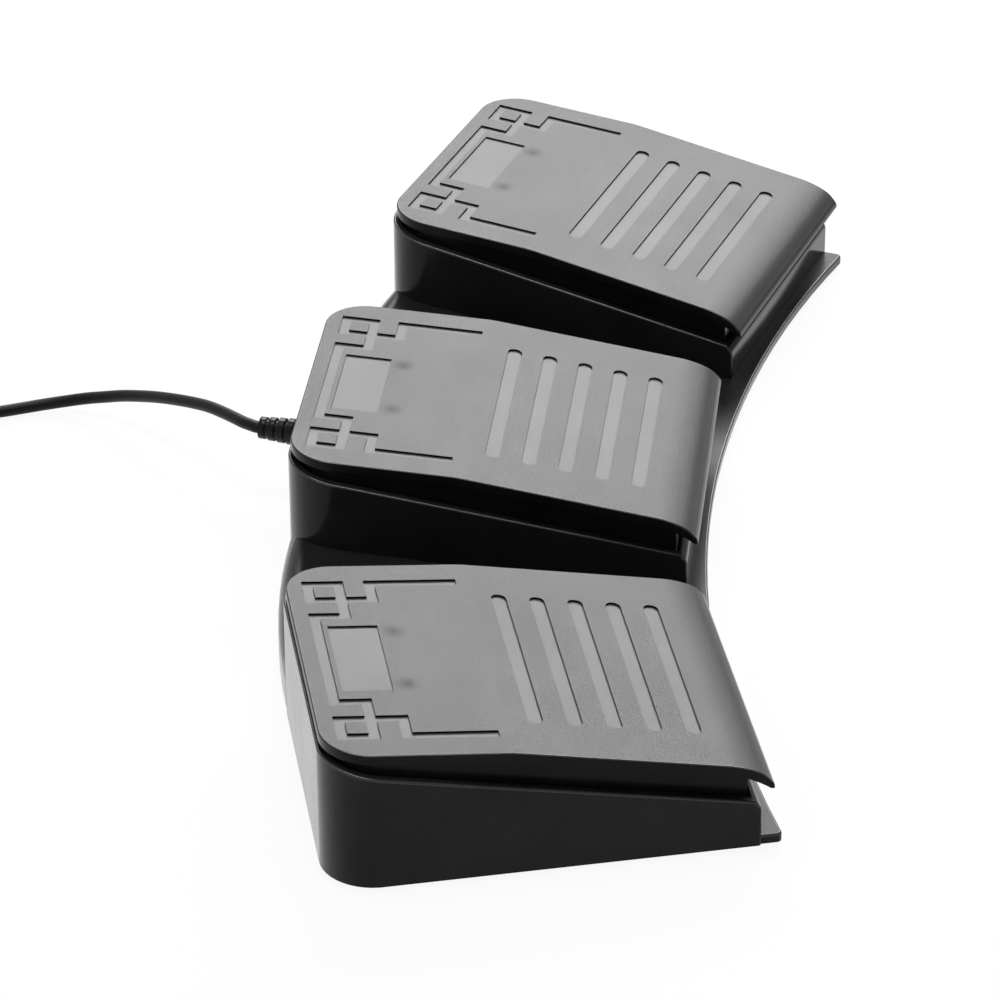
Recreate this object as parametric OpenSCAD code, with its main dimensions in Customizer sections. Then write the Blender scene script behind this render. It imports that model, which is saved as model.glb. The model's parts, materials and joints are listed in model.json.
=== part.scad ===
// Foot pedal switch: three sprung pedals fanned on one housing, with a USB lead.
// Sizes are in millimetres. +Z is up, the user sits on the -Y side, the lead leaves on the +Y side.
// The origin is on the floor, under the middle of the housing.

/* [Fan] */
// Radius from the fan's centre to the rear edge of every pedal
fan_r = 492.7; // [470:0.1:560]
// Angle between neighbouring pedals
fan_angle = 15; // [14:0.25:18]

/* [Pedal plate] */
// Width of a pedal plate
pedal_w = 79.6; // [76:0.2:82]
// Length of a pedal plate, seen from above
pedal_l = 96.5; // [90:0.5:104]
// Thickness of the plate
pedal_t = 2.2; // [1.8:0.1:2.8]
// Radius of the plate's rear corners
pedal_corner_r = 11; // [6:0.5:14]
// Height of the plate's rear edge above the housing's underside
pedal_rear_h = 32.6; // [31:0.1:40]
// Slope of the rear part of the plate, in degrees
rear_slope = 4.3; // [3:0.1:5]
// Slope of the front part of the plate, in degrees
front_slope = 9.9; // [8:0.1:10.5]
// Distance from the rear edge to the change of slope
slope_break = 38; // [34:0.5:42]
// Radius that blends the two slopes
slope_blend_r = 40; // [20:1:60]
// Length of the drooping nose
nose_l = 10.5; // [8:0.5:14]
// Radius of the drooping nose
nose_r = 26; // [24:0.5:40]

/* [Pedal decoration] */
// Depth of the fret and of the grip grooves
recess_d = 0.6; // [0.3:0.1:1]
// Distance from the rear edge to the fret
fret_rear = 3.8; // [3:0.1:5]
// Distance from the plate's side to the fret
fret_side = 6.9; // [5:0.1:8]
// Width of the fret's stroke
fret_stroke = 2.4; // [1.6:0.1:3]
// Spacing of the fret's strokes
fret_pitch = 6.9; // [6:0.1:7.2]
// Distance from the rear edge to the end of the fret's side arms
fret_arm_end = 38.3; // [30:0.1:42]
// Width of the sunk label panel
label_w = 27; // [20:0.5:30]
// Length of the sunk label panel
label_l = 11; // [8:0.5:16]
// Distance from the rear edge to the label panel
label_rear = 7.3; // [7:0.1:10]
// Depth of the label panel
label_d = 0.4; // [0.2:0.1:0.8]
// Number of grip grooves
groove_n = 5; // [3:1:5]
// Width of a grip groove
groove_w = 3.4; // [2:0.1:4]
// Length of a grip groove
groove_l = 54; // [40:1:60]
// Spacing of the grip grooves
groove_pitch = 8.6; // [6:0.1:9]
// Distance from the rear edge to the first groove's middle line
groove_rear = 47; // [45:0.5:50]

/* [Pedal underside] */
// Thickness of the skirt under the plate
skirt_t = 2; // [1.4:0.1:2.6]
// Gap between the skirt and the box around it
skirt_gap = 0.8; // [0.5:0.1:1.2]
// Depth that the skirt reaches below the rim
skirt_lap = 2.5; // [1.5:0.1:3]
// Thickness of the stiffening ribs
rib_t = 1.6; // [1.2:0.1:2.4]
// Depth of the stiffening ribs
rib_h = 4; // [2:0.5:5]
// Distance from the middle line to each stiffening rib
rib_v = 23; // [21.5:0.5:24]

/* [Hinge] */
// Distance from the rear edge to the hinge axis
hinge_rear = 8.5; // [8:0.1:10]
// Depth of the hinge axis below the plate's rear edge
hinge_drop = 7.1; // [6.5:0.1:9]
// Diameter of a hinge pin
pin_d = 3; // [2:0.1:3.4]
// Radial running clearance of a pin in its post
pin_clearance = 0.05; // [0.02:0.01:0.1]
// Wall of plastic around a pin's bore
bore_wall = 1.4; // [1.2:0.1:1.7]
// Thickness of a hinge post on the housing
post_t = 4; // [3:0.5:5]
// Distance from a box's side, at its rear, to the middle of each hinge post
post_inset = 12.7; // [11.7:0.1:13.7]
// Thickness of a hinge ear on the pedal
ear_t = 3; // [2:0.5:3]
// Gap between a hinge ear and its post
ear_gap = 0.4; // [0.3:0.1:0.6]
// Gap under the rear skirt, where the heel stops the pedal's rise
heel_gap = 0.3; // [0.2:0.1:0.5]

/* [Housing] */
// Wall thickness of the housing
wall = 2; // [1.6:0.1:2.4]
// Outside width of a box at its rear
box_rear_w = 83.4; // [82:0.2:88]
// Angle by which each side of a box narrows towards the front
box_taper = 2; // [1:0.1:2.5]
// Radius of a box's rear corners, outside
box_corner_r = 12; // [8:0.5:14]
// Distance by which a box's rear wall stands behind the pedal
box_rear_gap = 0.5; // [0.2:0.1:2]
// Distance by which the pedal's nose overhangs the box
nose_overhang = 2.5; // [1.5:0.1:3.5]
// Gap between the plate and the rim of the box at the rear
rim_gap = 1.25; // [1:0.05:2]
// Slope of the rim, in degrees
rim_slope = 10.9; // [10.5:0.1:11.5]
// Size of the bevel on the front rim
rim_bevel = 1.6; // [0.8:0.1:1.8]
// Width of the front lip before the middle of a box
lip_w = 3.1; // [2:0.1:6]
// Distance by which the lip's ends stand back from the sides of the outer boxes
lip_inset = 0.6; // [0.3:0.1:1.5]
// Thickness of the front lip
lip_t = 2.1; // [1.6:0.1:3]
// Height of the deck between the boxes, at the rear
deck_rear_h = 11; // [9:0.5:14]
// Slope of the deck, in degrees
deck_slope = 6.5; // [5.5:0.1:8]
// Distance by which the deck's rear bows out past the boxes' corners
deck_bow = 1.2; // [0.6:0.1:1.8]
// Rounding of the deck's rear edge
deck_round = 5; // [3:0.5:6]

/* [Bottom cover and feet] */
// Thickness of the bottom cover
cover_t = 1.8; // [1.5:0.1:2.2]
// Gap around the bottom cover
cover_gap = 0.2; // [0.1:0.05:0.4]
// Diameter of a rubber foot
foot_d = 12; // [8:0.5:16]
// Thickness of a rubber foot
foot_t = 1.6; // [1.4:0.1:2]
// Height by which a foot stands out of the cover
foot_proud = 1; // [0.8:0.1:1.2]
// Distance from the rear edge to the rear feet
foot_rear = 15; // [12:0.5:20]
// Distance from the rear edge to the front feet
foot_front = 74; // [68:0.5:78]
// Shank diameter of a cover screw
screw_d = 2.6; // [2:0.1:3]
// Head diameter of a cover screw
screw_head_d = 5; // [4:0.1:6]
// Length of a cover screw
screw_l = 5; // [4.5:0.1:5.5]
// Wall of plastic around a cover screw
boss_wall = 2; // [1.5:0.1:2.5]
// Distance from the rear wall to the rear cover screws
screw_rear = 10; // [8:0.5:14]
// Distance from the rear wall to the front cover screws
screw_front = 30; // [24:0.5:32]
// Distance from the middle line to the outer cover screws
screw_v = 19; // [14:0.5:20]

/* [Spring] */
// Distance from the rear edge to the spring
spring_rear = 62; // [58:0.5:64]
// Mean diameter of the spring
spring_d = 8; // [6:0.5:9]
// Wire diameter of the spring
spring_wire = 1; // [0.8:0.1:1.2]
// Length of the fitted spring
spring_l = 17; // [15:0.5:18]
// Number of turns of the spring
spring_turns = 7; // [5:1:8]
// Height of the spigots that locate the spring
spigot_h = 2; // [1.5:0.1:3]
// Gap between a spigot and the spring
spigot_gap = 0.5; // [0.3:0.1:0.8]

/* [Switches] */
// Distance from the middle line to the switches
switch_v = 16; // [14.5:0.5:17]
// Distance from the hinge axis to the switches
switch_reach = 16; // [15:0.5:18]
// Width of a switch
switch_w = 12.8; // [10:0.1:14]
// Depth of a switch
switch_y = 5.8; // [5:0.1:7]
// Height of a switch
switch_h = 6.5; // [5.5:0.1:8]
// Diameter of a switch plunger
plunger_d = 2.4; // [1.6:0.1:3]
// Height by which a plunger stands out of its switch
plunger_proud = 1.6; // [1.4:0.1:2]
// Depth by which a plunger sits in its switch
plunger_seat = 1.6; // [1.2:0.1:2]
// Travel of a plunger
plunger_travel = 1.3; // [1.2:0.1:1.6]
// Gap between a pedal's presser and the plunger
presser_gap = 0.3; // [0.2:0.1:0.5]
// Diameter of a pedal's presser
presser_d = 4.4; // [3.6:0.1:5]
// Width of a switch board
board_w = 24; // [22:0.5:25]
// Depth of a switch board
board_y = 19; // [17:0.5:20]
// Thickness of the circuit boards
board_t = 1.6; // [1:0.1:2]
// Height of the boards' standoffs on the cover
standoff_h = 6; // [5:0.5:7]
// Diameter of the standoffs
standoff_d = 4.4; // [4:0.1:5]
// Shank diameter of a board screw
board_screw_d = 1.8; // [1.4:0.1:2]
// Length of a board screw's shank below the board
board_screw_l = 4; // [3:0.5:4.5]
// Head diameter of a board screw
board_head_d = 3.6; // [3:0.1:4]
// Head height of a board screw
board_head_h = 1.1; // [0.8:0.1:1.4]
// Distance from a board's edges to its screws
board_inset = 2.6; // [2.3:0.1:3]

/* [Main board] */
// Width of the main board
main_w = 24; // [22:0.5:25]
// Depth of the main board
main_y = 38; // [34:0.5:40]
// Distance from the middle line to the middle of the main board
main_v = 22; // [21:0.5:22.5]
// Distance from the rear edge to the main board
main_rear = 28; // [26:0.5:30]
// Side of the controller chip
chip_w = 7; // [5:0.5:9]
// Thickness of the controller chip
chip_t = 1.4; // [1:0.1:2]
// Width of a three-pin header
header_w = 7.5; // [6:0.5:9]
// Depth of a header
header_y = 5; // [4:0.5:6]
// Height of a header
header_h = 6; // [5:0.5:8]
// Gap between neighbouring headers
header_gap = 1.2; // [0.8:0.1:2]
// Diameter of the leads between the boards
lead_d = 1.4; // [1:0.1:1.5]

/* [Bump stops] */
// Distance from the rear edge to the bump stops
bump_rear = 80; // [79:0.5:82]
// Diameter of a bump stop
bump_d = 8; // [6:0.5:9]
// Height of a bump stop
bump_h = 4; // [3:0.1:5]
// Diameter of the pedal's post above a bump stop
bump_post_d = 7; // [5:0.5:7.5]
// Gap above a bump stop at the end of the pedal's travel
bump_gap = 0.3; // [0.2:0.1:0.5]
// Pedal travel in degrees
pedal_travel = 3.4; // [3:0.1:3.6]

/* [USB lead] */
// Diameter of the lead
cable_d = 3; // [2.6:0.1:3.2]
// Height of the lead's outlet above the housing's underside
outlet_h = 17; // [16.8:0.1:17.2]
// Outside diameter of the strain relief's first rib
relief_d = 6.8; // [6:0.1:8]
// Outside diameter of the strain relief's last rib
relief_end_d = 5.4; // [4.6:0.1:6]
// Length of the strain relief outside the wall
relief_l = 12; // [11.8:0.1:12.2]
// Number of ribs on the strain relief
relief_ribs = 5; // [4:1:5]
// Width of the grooves between the ribs
relief_groove = 0.9; // [0.6:0.1:1.2]
// Angle by which the lead pulls the strain relief over to the right
relief_lean = 10; // [4:1:10]
// Diameter of the strain relief's core and of its hole in the wall
relief_core_d = 4.4; // [4:0.1:4.6]
// Thickness of the strain relief's inner flange
relief_flange_t = 1.5; // [1:0.1:2]
// Diameter of the strain relief's inner flange
relief_flange_d = 8.4; // [8:0.1:9]

/* [Coiled lead] */
// Mean diameter of the coil
coil_d = 36; // [34:0.2:40]
// Number of turns in the coil, ending a quarter turn past its start
coil_turns = 14.25; // [12.25:1:16.25]
// Spacing of the turns beside each other
coil_pitch = 3.8; // [3.7:0.1:4]
// Spacing of the turns on each other
coil_rise = 3.6; // [3.5:0.1:4]
// Thickness of the tie
tie_t = 0.8; // [0.6:0.1:0.9]
// Width of the tie
tie_w = 6; // [4:0.5:8]
// Gap between the tie and the turns
tie_gap = 0.4; // [0.3:0.1:0.6]
// Distance from the middle line to the coil's outermost turn
coil_x = 28; // [24:1:34]
// Distance from the strain relief's end to the coil's middle
coil_y = 94.5; // [92:0.5:98]

/* [Plug] */
// Width of the plug's overmould
plug_w = 15.6; // [14:0.1:17]
// Height of the plug's overmould
plug_h = 8; // [7:0.1:9]
// Length of the plug's overmould
plug_l = 29; // [24:0.5:34]
// Corner radius of the plug's overmould
plug_corner_r = 2; // [1:0.1:3]
// Distance from the middle line to the plug's neck
plug_reach = 48; // [46:1:60]
// Length of the plug's neck
neck_l = 8; // [6:0.5:12]
// Diameter of the plug's neck
neck_d = 5; // [4:0.1:6]
// Width of the plug's metal shell
shell_w = 12; // [11.8:0.1:12.2]
// Height of the plug's metal shell
shell_h = 4.5; // [4.3:0.1:4.7]
// Length of the plug's metal shell
shell_l = 18.8; // [17:0.1:20]
// Thickness of the shell's sheet
shell_t = 0.3; // [0.2:0.05:0.5]
// Thickness of the plug's tongue
tongue_t = 1.9; // [1.6:0.1:2.2]
// Width of a plug contact
contact_w = 1.2; // [0.8:0.1:1.4]
// Thickness of a plug contact
contact_t = 0.2; // [0.1:0.05:0.3]
// Length of a plug contact
contact_l = 11.2; // [8:0.1:14]
// Spacing of the plug contacts
contact_pitch = 2.3; // [2:0.05:2.5]

/* [Hidden] */

$fn = 64;
// Segments of the fan's large arcs
fan_fn = 1440;
// Overlap that joins shapes of one solid, and reach of cuts past a face
eps = 0.5;

// Stations of the three pedals, from the user's left to the right
LEFT = -1;
MIDDLE = 0;
RIGHT = 1;
stations = [LEFT, MIDDLE, RIGHT];

// Housing outline
box_front = pedal_l - nose_overhang;
box_rear_r = fan_r + box_rear_gap;
corner_x = box_rear_w / 2 - box_corner_r;
corner_y = box_rear_gap - box_corner_r;
deck_r = norm([box_rear_r, corner_x]);
lip_r = fan_r - box_front - lip_w;
// The deck's rear edge is an arc that starts and ends on the boxes' corners
deck_start = atan((corner_x + box_corner_r / 4) / box_rear_r);
deck_edge_r = deck_r + deck_bow;
bow_half_w = deck_r * sin(fan_angle / 2 - deck_start);
bow_depth = deck_edge_r - deck_r * cos(fan_angle / 2 - deck_start);
bow_r = (bow_half_w * bow_half_w + bow_depth * bow_depth) / (2 * bow_depth);
bow_centre = deck_edge_r - bow_r;
bow_angle = asin(bow_half_w / bow_r);
// Depth by which a box's straight sides cut into its corner circles
corner_bite = 0.03;
function box_half_w(y, inset) =
    corner_x + (box_corner_r - corner_bite - inset) / cos(box_taper) - (corner_y - y) * tan(box_taper);

// The lip's corner is where its end, beside an outer box's side, meets the lip's arc
side_point = [box_half_w(corner_y, lip_inset), fan_r + corner_y];
side_dir = [-sin(box_taper), -cos(box_taper)];
side_along = side_point * side_dir;
side_reach = -side_along - sqrt(side_along * side_along - side_point * side_point + lip_r * lip_r);
lip_corner = side_point + side_reach * side_dir;
lip_foot_r = norm([fan_r - box_front, box_half_w(-box_front, 0)]) + wall / 2;
front_y = lip_corner[1] * cos(fan_angle) - lip_corner[0] * sin(fan_angle);
fan_centre_y = -(box_rear_r + front_y) / 2;

// Heights of the rim and of the deck, by distance from the rear edge or by radius
rim_rear_h = pedal_rear_h - pedal_t - rim_gap;
function rim_h(u) = rim_rear_h - u * tan(rim_slope);
function deck_h(r) = deck_rear_h - (deck_r - r) * tan(deck_slope);
function deck_radius(h) = deck_r - (deck_rear_h - h) * tan(90 - deck_slope);
cavity_low_h = cover_t + cover_gap;
cavity_r_in = deck_radius(cavity_low_h + wall);
cavity_r_out = deck_edge_r - wall;
// Rounded rear edge of the deck, or of the space under it, by its radius
shoulder_steps = 8;
shoulder_r = deck_edge_r - deck_round;
shoulder_h = deck_h(shoulder_r) - deck_round / cos(deck_slope);
function shoulder(r) = [
    for (i = [0 : shoulder_steps])
        let (a = (90 + deck_slope) * i / shoulder_steps)
        [shoulder_r + r * cos(a), shoulder_h + r * sin(a)]
];

// Pedal profile: points [distance from the rear edge, height, slope]
nose_start = pedal_l - nose_l;
break_h = pedal_rear_h - slope_break * tan(rear_slope);
blend_end = slope_break + slope_blend_r * (sin(front_slope) - sin(rear_slope));
blend_end_h = break_h + slope_blend_r * (cos(front_slope) - cos(rear_slope));
nose_start_h = blend_end_h - (nose_start - blend_end) * tan(front_slope);
tip_slope = asin(sin(front_slope) + (nose_l + pedal_t) / nose_r);
blend_steps = 4;
nose_steps = 12;
function arc_points(u, h, r, a0, a1, n) = [
    for (i = [0 : n])
        let (a = a0 + (a1 - a0) * i / n)
        [u + r * (sin(a) - sin(a0)), h + r * (cos(a) - cos(a0)), a]
];
top_line = concat(
    [[-pedal_t, pedal_rear_h + pedal_t * tan(rear_slope), rear_slope]],
    arc_points(slope_break, break_h, slope_blend_r, rear_slope, front_slope, blend_steps),
    arc_points(nose_start, nose_start_h, nose_r, front_slope, tip_slope, nose_steps)
);
// The top line lowered by a depth, as points [y, z]
function lowered(depth) = [
    for (p = top_line)
        [-p[0] + depth * sin(p[2]), p[1] - depth * cos(p[2])]
];
function backward(list) = [for (i = [len(list) - 1 : -1 : 0]) list[i]];
// Height of the plate's underside behind the nose
function plate_under(u) =
    (u < slope_break
        ? pedal_rear_h - u * tan(rear_slope)
        : blend_end_h - (u - blend_end) * tan(front_slope)) - pedal_t / cos(front_slope);

// Fret, measured from the plate's middle line and rear edge
fret_v = [for (i = [0 : 2]) pedal_w / 2 - fret_side - i * fret_pitch];
fret_u = [for (i = [0 : 2]) fret_rear + i * fret_pitch];

// Hinge
hinge_h = pedal_rear_h - hinge_drop;
pin_r = pin_d / 2;
ear_r = pin_r + bore_wall;
post_v = box_rear_w / 2 - post_inset;
ear_offset = post_t / 2 + ear_gap;
pin_l = 2 * (ear_offset + ear_t);
skirt_rear_y = box_rear_gap - wall - skirt_gap;

// Spring, switches and boards stand on the cover
spring_top = cover_t + spring_l;
spigot_r = (spring_d - spring_wire) / 2 - spigot_gap;
seat_r = (spring_d + spring_wire) / 2 + spigot_gap;
spring_seat_gap = 0.05;
switch_rear = hinge_rear + switch_reach;
board_z = cover_t + standoff_h;
switch_z = board_z + board_t;
plunger_top = switch_z + switch_h + plunger_proud;
presser_z = plunger_top + presser_gap;
plunger_clearance = 0.08;
board_rear = switch_rear - board_y / 2;
screw_clearance = 0.02;
main_x = -main_v;
main_mid = main_rear + main_y / 2;

// The pedal's bump post stops just above the bump stop when the pedal is down
bump_top = cover_t + bump_h;
bump_arm = bump_rear + bump_d / 2 - hinge_rear;
bump_drop = bump_arm * sin(pedal_travel);
bump_post_z = hinge_h + (bump_top + bump_gap - hinge_h + bump_drop) / cos(pedal_travel);

// USB lead
cable_r = cable_d / 2;
relief_gap = 0.3;
relief_first = relief_d / 2 * tan(relief_lean) + relief_gap;
relief_pitch = (relief_l - relief_first + relief_groove) / relief_ribs;
outlet_z = foot_proud + outlet_h;
outlet_y = fan_centre_y + box_rear_r;
relief_end = [relief_l * sin(relief_lean), outlet_y + relief_l * cos(relief_lean), outlet_z];
// Line behind the housing from which the lead's way and the coil are laid out
way_y = outlet_y + relief_l;

// Coil: spirals in and out on four layers, and climbs where the spiral turns round
floor_gap = 0.1;
coil_layers = 4;
coil_rings = 24;
coil_sides = 6;
cable_sides = 8;
layer_turns = coil_turns / coil_layers;
climb_turns = 0.5;
coil_width = layer_turns * coil_pitch;
coil_r_out = (coil_d + coil_width) / 2;
coil_base = tie_t + tie_gap + floor_gap;
coil_centre = [coil_x - coil_r_out, way_y + coil_y];
function climb(x) = x <= 0 ? 0 : x >= 1 ? 1 : x * x * (3 - 2 * x);
function coil_inward(t) =
    let (k = min(floor(t / layer_turns), coil_layers - 1), f = t / layer_turns - k)
    k % 2 == 0 ? f : 1 - f;
function coil_climb(t, layer) = climb((t - layer * layer_turns) / climb_turns + 1 / 2);
function coil_layer(t) = coil_climb(t, 1) + coil_climb(t, 2) + coil_climb(t, 3);
function coil_point(t) =
    let (r = coil_r_out - coil_width * coil_inward(t))
    [
        coil_centre[0] + r * cos(360 * t),
        coil_centre[1] + r * sin(360 * t),
        coil_base + cable_r + coil_rise * coil_layer(t)
    ];
coil_start = coil_point(0);
coil_stop = coil_point(coil_turns);
coil_path = concat(
    [coil_start - [0, cable_d, 0]],
    [for (i = [0 : floor(coil_turns * coil_rings) - 1]) coil_point(i / coil_rings)],
    [coil_stop, coil_stop - [cable_d, 0, 0]]
);

// Plug, lying on the floor beside the coil and pointing to -X
plug_x = -plug_reach;
plug_y = coil_stop[1];
plug_z = plug_h / 2 + floor_gap;

// The lead's way from the strain relief down to the floor and on to the coil,
// as points [to the right, behind the lead's line, above the floor]
cable_way = [
    [2.3, 1, 18], [2.9, 2.1, 18], [4.2, 4.1, 17.9], [6.3, 6.4, 17.7], [10.2, 10.3, 17.1],
    [14, 14.4, 16.4], [17.5, 18.5, 15.3], [20.9, 22.7, 14], [24.2, 26.9, 12.6], [27.5, 31, 11],
    [30.6, 35.3, 9.3], [33.4, 39.8, 7.6], [35.7, 44.5, 5.8], [37.2, 49.6, 4.3], [37.6, 55, 3],
    [36.8, 60.4, 2.2], [35.1, 65.6, 1.8], [32.9, 70.7, 1.7], [30.8, 75.8, 1.8], [29, 81.1, 2.2],
    [28.1, 86.5, 2.6]
];
cable_route = concat(
    [relief_end],
    [for (p = cable_way) [p[0], way_y + p[1], p[2]]],
    [coil_start - [0, 2 * cable_d, 0], coil_start - [0, cable_d, 0]]
);

// The lead's far end, from the coil down to the plug, as points [share of the way, share of the drop]
cable_end_way = [
    [0, 0], [0.1, 0.03], [0.22, 0.13], [0.35, 0.3], [0.5, 0.5],
    [0.65, 0.7], [0.78, 0.87], [0.9, 0.97], [1, 1]
];
end_from = coil_stop - [2 * cable_d, 0, 0];
end_to = [plug_x + cable_d, plug_y, plug_z];
cable_end_route = concat(
    [coil_stop - [cable_d, 0, 0]],
    [
        for (p = cable_end_way)
            let (way = end_to - end_from)
            end_from + [p[0] * way[0], 0, p[1] * way[2]]
    ],
    [[plug_x, plug_y, plug_z]]
);

// The lead inside the housing eases from the strain relief to the main board's rear edge
board_mid_z = foot_proud + board_z + board_t / 2;
inner_start = [0, outlet_y - wall - relief_flange_t, outlet_z];
inner_stop = [main_x, fan_centre_y + fan_r - main_rear, board_mid_z];
inner_straight = [0, cable_d, 0];
inner_steps = 8;
cable_inner_route = concat(
    [inner_start],
    [
        for (i = [0 : inner_steps])
            let (
                f = i / inner_steps,
                from = inner_start - inner_straight,
                way = inner_stop + inner_straight / 2 - from
            )
            from + [way[0] * climb(f), way[1] * f, way[2] * climb(f)]
    ],
    [inner_stop]
);

// Leads between the boards. A place is [angle to the right about the fan's centre, radius]
function place(k, v, u) = [k * fan_angle + atan(v / (fan_r - u)), norm([v, fan_r - u])];
function fan_point(p, z) = [p[1] * sin(p[0]), p[1] * cos(p[0]) + fan_centre_y, z];
lead_low_z = foot_proud + cover_t + lead_d / 2 + floor_gap;
lead_exit = 2;
lead_steps = 20;
lead_sink = 1 / 6;
lead_turn_steps = 8;
lead_gap_r = deck_r - (screw_rear + screw_front) / 2;
lead_turn = fan_angle / 5;
// Nearness to the middle of a gap between boxes, where the lead passes between two screw bosses
function gap_near(a, gap) = climb(3 / 2 - abs(a - gap) / lead_turn);
// A run that sinks from a board to the cover, and may rise again at its end
function lead_run(from, to, gap, rises) = [
    for (i = [0 : lead_steps])
        let (
            f = i / lead_steps,
            low = climb(f / lead_sink) * (rises ? climb((1 - f) / lead_sink) : 1),
            p = from + (to - from) * f,
            r = p[1] + (lead_gap_r - p[1]) * low * gap_near(p[0], gap)
        )
        fan_point([p[0], r], board_mid_z + (lead_low_z - board_mid_z) * low)
];
// A quarter turn from one point to another, which starts along an axis, 0 for x or 1 for y
function quarter(from, to, axis, steps) = [
    for (i = [0 : steps])
        let (a = 90 * i / steps, d = to - from)
        from + [
            d[0] * (axis == 0 ? sin(a) : 1 - cos(a)),
            d[1] * (axis == 1 ? sin(a) : 1 - cos(a)),
            d[2] * climb(i / steps)
        ]
];
lead_u = switch_rear + board_y / 3;

// The left lead enters the middle box behind the main board and turns to its rear edge
left_start = place(LEFT, switch_v + board_w / 2, lead_u);
left_in = [-atan(box_half_w(lead_gap_r - fan_r, wall) / lead_gap_r), lead_gap_r];
left_stop = [main_x - main_w / 4, inner_stop[1], board_mid_z];
lead_left_route = concat(
    [fan_point(left_start, board_mid_z)],
    lead_run(
        place(LEFT, switch_v + board_w / 2 + lead_exit, lead_u),
        left_in,
        -fan_angle / 2,
        false
    ),
    quarter(
        fan_point(left_in, lead_low_z) + [lead_exit, 0, 0],
        left_stop + [0, lead_exit, 0],
        0,
        lead_turn_steps
    ),
    [left_stop]
);

// The right lead crosses the middle box to the main board's right edge
main_right_v = main_x + main_w / 2;
main_lead_u = main_mid - main_y / 4;
lead_right_route = concat(
    [fan_point(place(RIGHT, switch_v - board_w / 2, lead_u), board_mid_z)],
    lead_run(
        place(RIGHT, switch_v - board_w / 2 - lead_exit, lead_u),
        place(MIDDLE, main_right_v + lead_exit, main_lead_u),
        fan_angle / 2,
        true
    ),
    [fan_point(place(MIDDLE, main_right_v, main_lead_u), board_mid_z)]
);

// The middle lead leaves the front edge of its board
middle_start = fan_point(place(MIDDLE, switch_v - board_w / 4, board_rear + board_y), board_mid_z);
middle_stop = fan_point(place(MIDDLE, main_right_v, main_mid + main_y / 8), board_mid_z);
lead_middle_route = concat(
    [middle_start],
    quarter(middle_start - [0, lead_exit, 0], middle_stop + [lead_exit, 0, 0], 1, lead_turn_steps),
    [middle_stop]
);

// Colours of the photographed materials
shell_black = "#161617";
pedal_grey = "#3a3a3c";
rubber_black = "#1d1d1e";
steel = "#b9bcc0";
board_green = "#1f5a3a";

// Frames: the fan's centre, and a station with its origin at the pedal's rear edge
module at_fan() {
    translate([0, fan_centre_y, foot_proud])
        children();
}

module at_station(k) {
    at_fan()
        rotate([0, 0, -k * fan_angle])
            translate([0, fan_r, 0])
                children();
}

// A solid of a side view, points [y, z], as wide as w and centred on x
module side_solid(points, w) {
    rotate([90, 0, 90])
        linear_extrude(w, center = true)
            polygon(points);
}

// A layer of the pedal between two depths below its top, wider than the plate
module pedal_layer(d0, d1) {
    side_solid(concat(lowered(d0), backward(lowered(d1))), pedal_w * 2);
}

// Plan of a box, drawn in from its outline by an inset
module box_plan(inset) {
    r = box_corner_r - inset;
    touch_x = corner_x + (r - corner_bite) * cos(box_taper);
    touch_y = corner_y - (r - corner_bite) * sin(box_taper);
    front_y = -box_front + inset;
    front_x = box_half_w(front_y, inset);
    for (side = [-1, 1])
        translate([side * corner_x, corner_y])
            circle(r);
    polygon([
        [front_x, front_y], [touch_x, touch_y], [corner_x, corner_y + r],
        [-corner_x, corner_y + r], [-touch_x, touch_y], [-front_x, front_y]
    ]);
}

// Plan of a pedal plate
module pedal_plan() {
    corner = pedal_w / 2 - pedal_corner_r;
    for (side = [-1, 1])
        translate([side * corner, -pedal_corner_r])
            circle(pedal_corner_r);
    translate([-corner, -pedal_corner_r])
        square([2 * corner, pedal_corner_r]);
    translate([-pedal_w / 2, -pedal_l])
        square([pedal_w, pedal_l - pedal_corner_r]);
}

// A bar of the fret between two distances from the middle line and from the rear edge
module fret_bar(v0, v1, u0, u1) {
    translate([v0, -u1])
        square([v1 - v0, u1 - u0]);
}

// One corner of the fret: a square loop between the rear arm and the side arm
module fret_corner() {
    w = fret_stroke;
    difference() {
        fret_bar(fret_v[1] - w, fret_v[0], fret_u[0], fret_u[1] + w);
        fret_bar(fret_v[1], fret_v[0] - w, fret_u[0] + w, fret_u[1]);
    }
    fret_bar(fret_v[2] - w, fret_v[2], fret_u[0], fret_u[1] + w);
    fret_bar(fret_v[2] - w, fret_v[1], fret_u[1], fret_u[1] + w);
    fret_bar(fret_v[1] - w, fret_v[1], fret_u[1], fret_u[2] + w);
    fret_bar(fret_v[1] - w, fret_v[0], fret_u[2], fret_u[2] + w);
    fret_bar(fret_v[0] - w, fret_v[0], fret_u[2], fret_arm_end);
    fret_bar(0, fret_v[2], fret_u[0], fret_u[0] + w);
}

// Grip grooves with round ends
module groove_plan() {
    straight = groove_l - groove_w;
    for (i = [0 : groove_n - 1])
        translate([0, -groove_rear - i * groove_pitch]) {
            square([straight, groove_w], center = true);
            for (side = [-1, 1])
                translate([side * straight / 2, 0])
                    circle(d = groove_w);
        }
}

// Plan of the decoration cut to the recess depth
module recess_plan() {
    fret_corner();
    mirror([1, 0]) fret_corner();
    groove_plan();
}

module label_plan() {
    translate([-label_w / 2, -label_rear - label_l])
        square([label_w, label_l]);
}

// A plan cut into the plate's top to a depth
module sunk(depth) {
    intersection() {
        linear_extrude(2 * pedal_rear_h) children();
        pedal_layer(-pedal_t, depth);
    }
}

// A plan raised between the plate's middle and a height below it
module hung(z) {
    intersection() {
        translate([0, 0, z]) linear_extrude(pedal_rear_h) children();
        side_solid(concat(lowered(pedal_t / 2), [[-pedal_l, 0], [pedal_t, 0]]), pedal_w * 2);
    }
}

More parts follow.
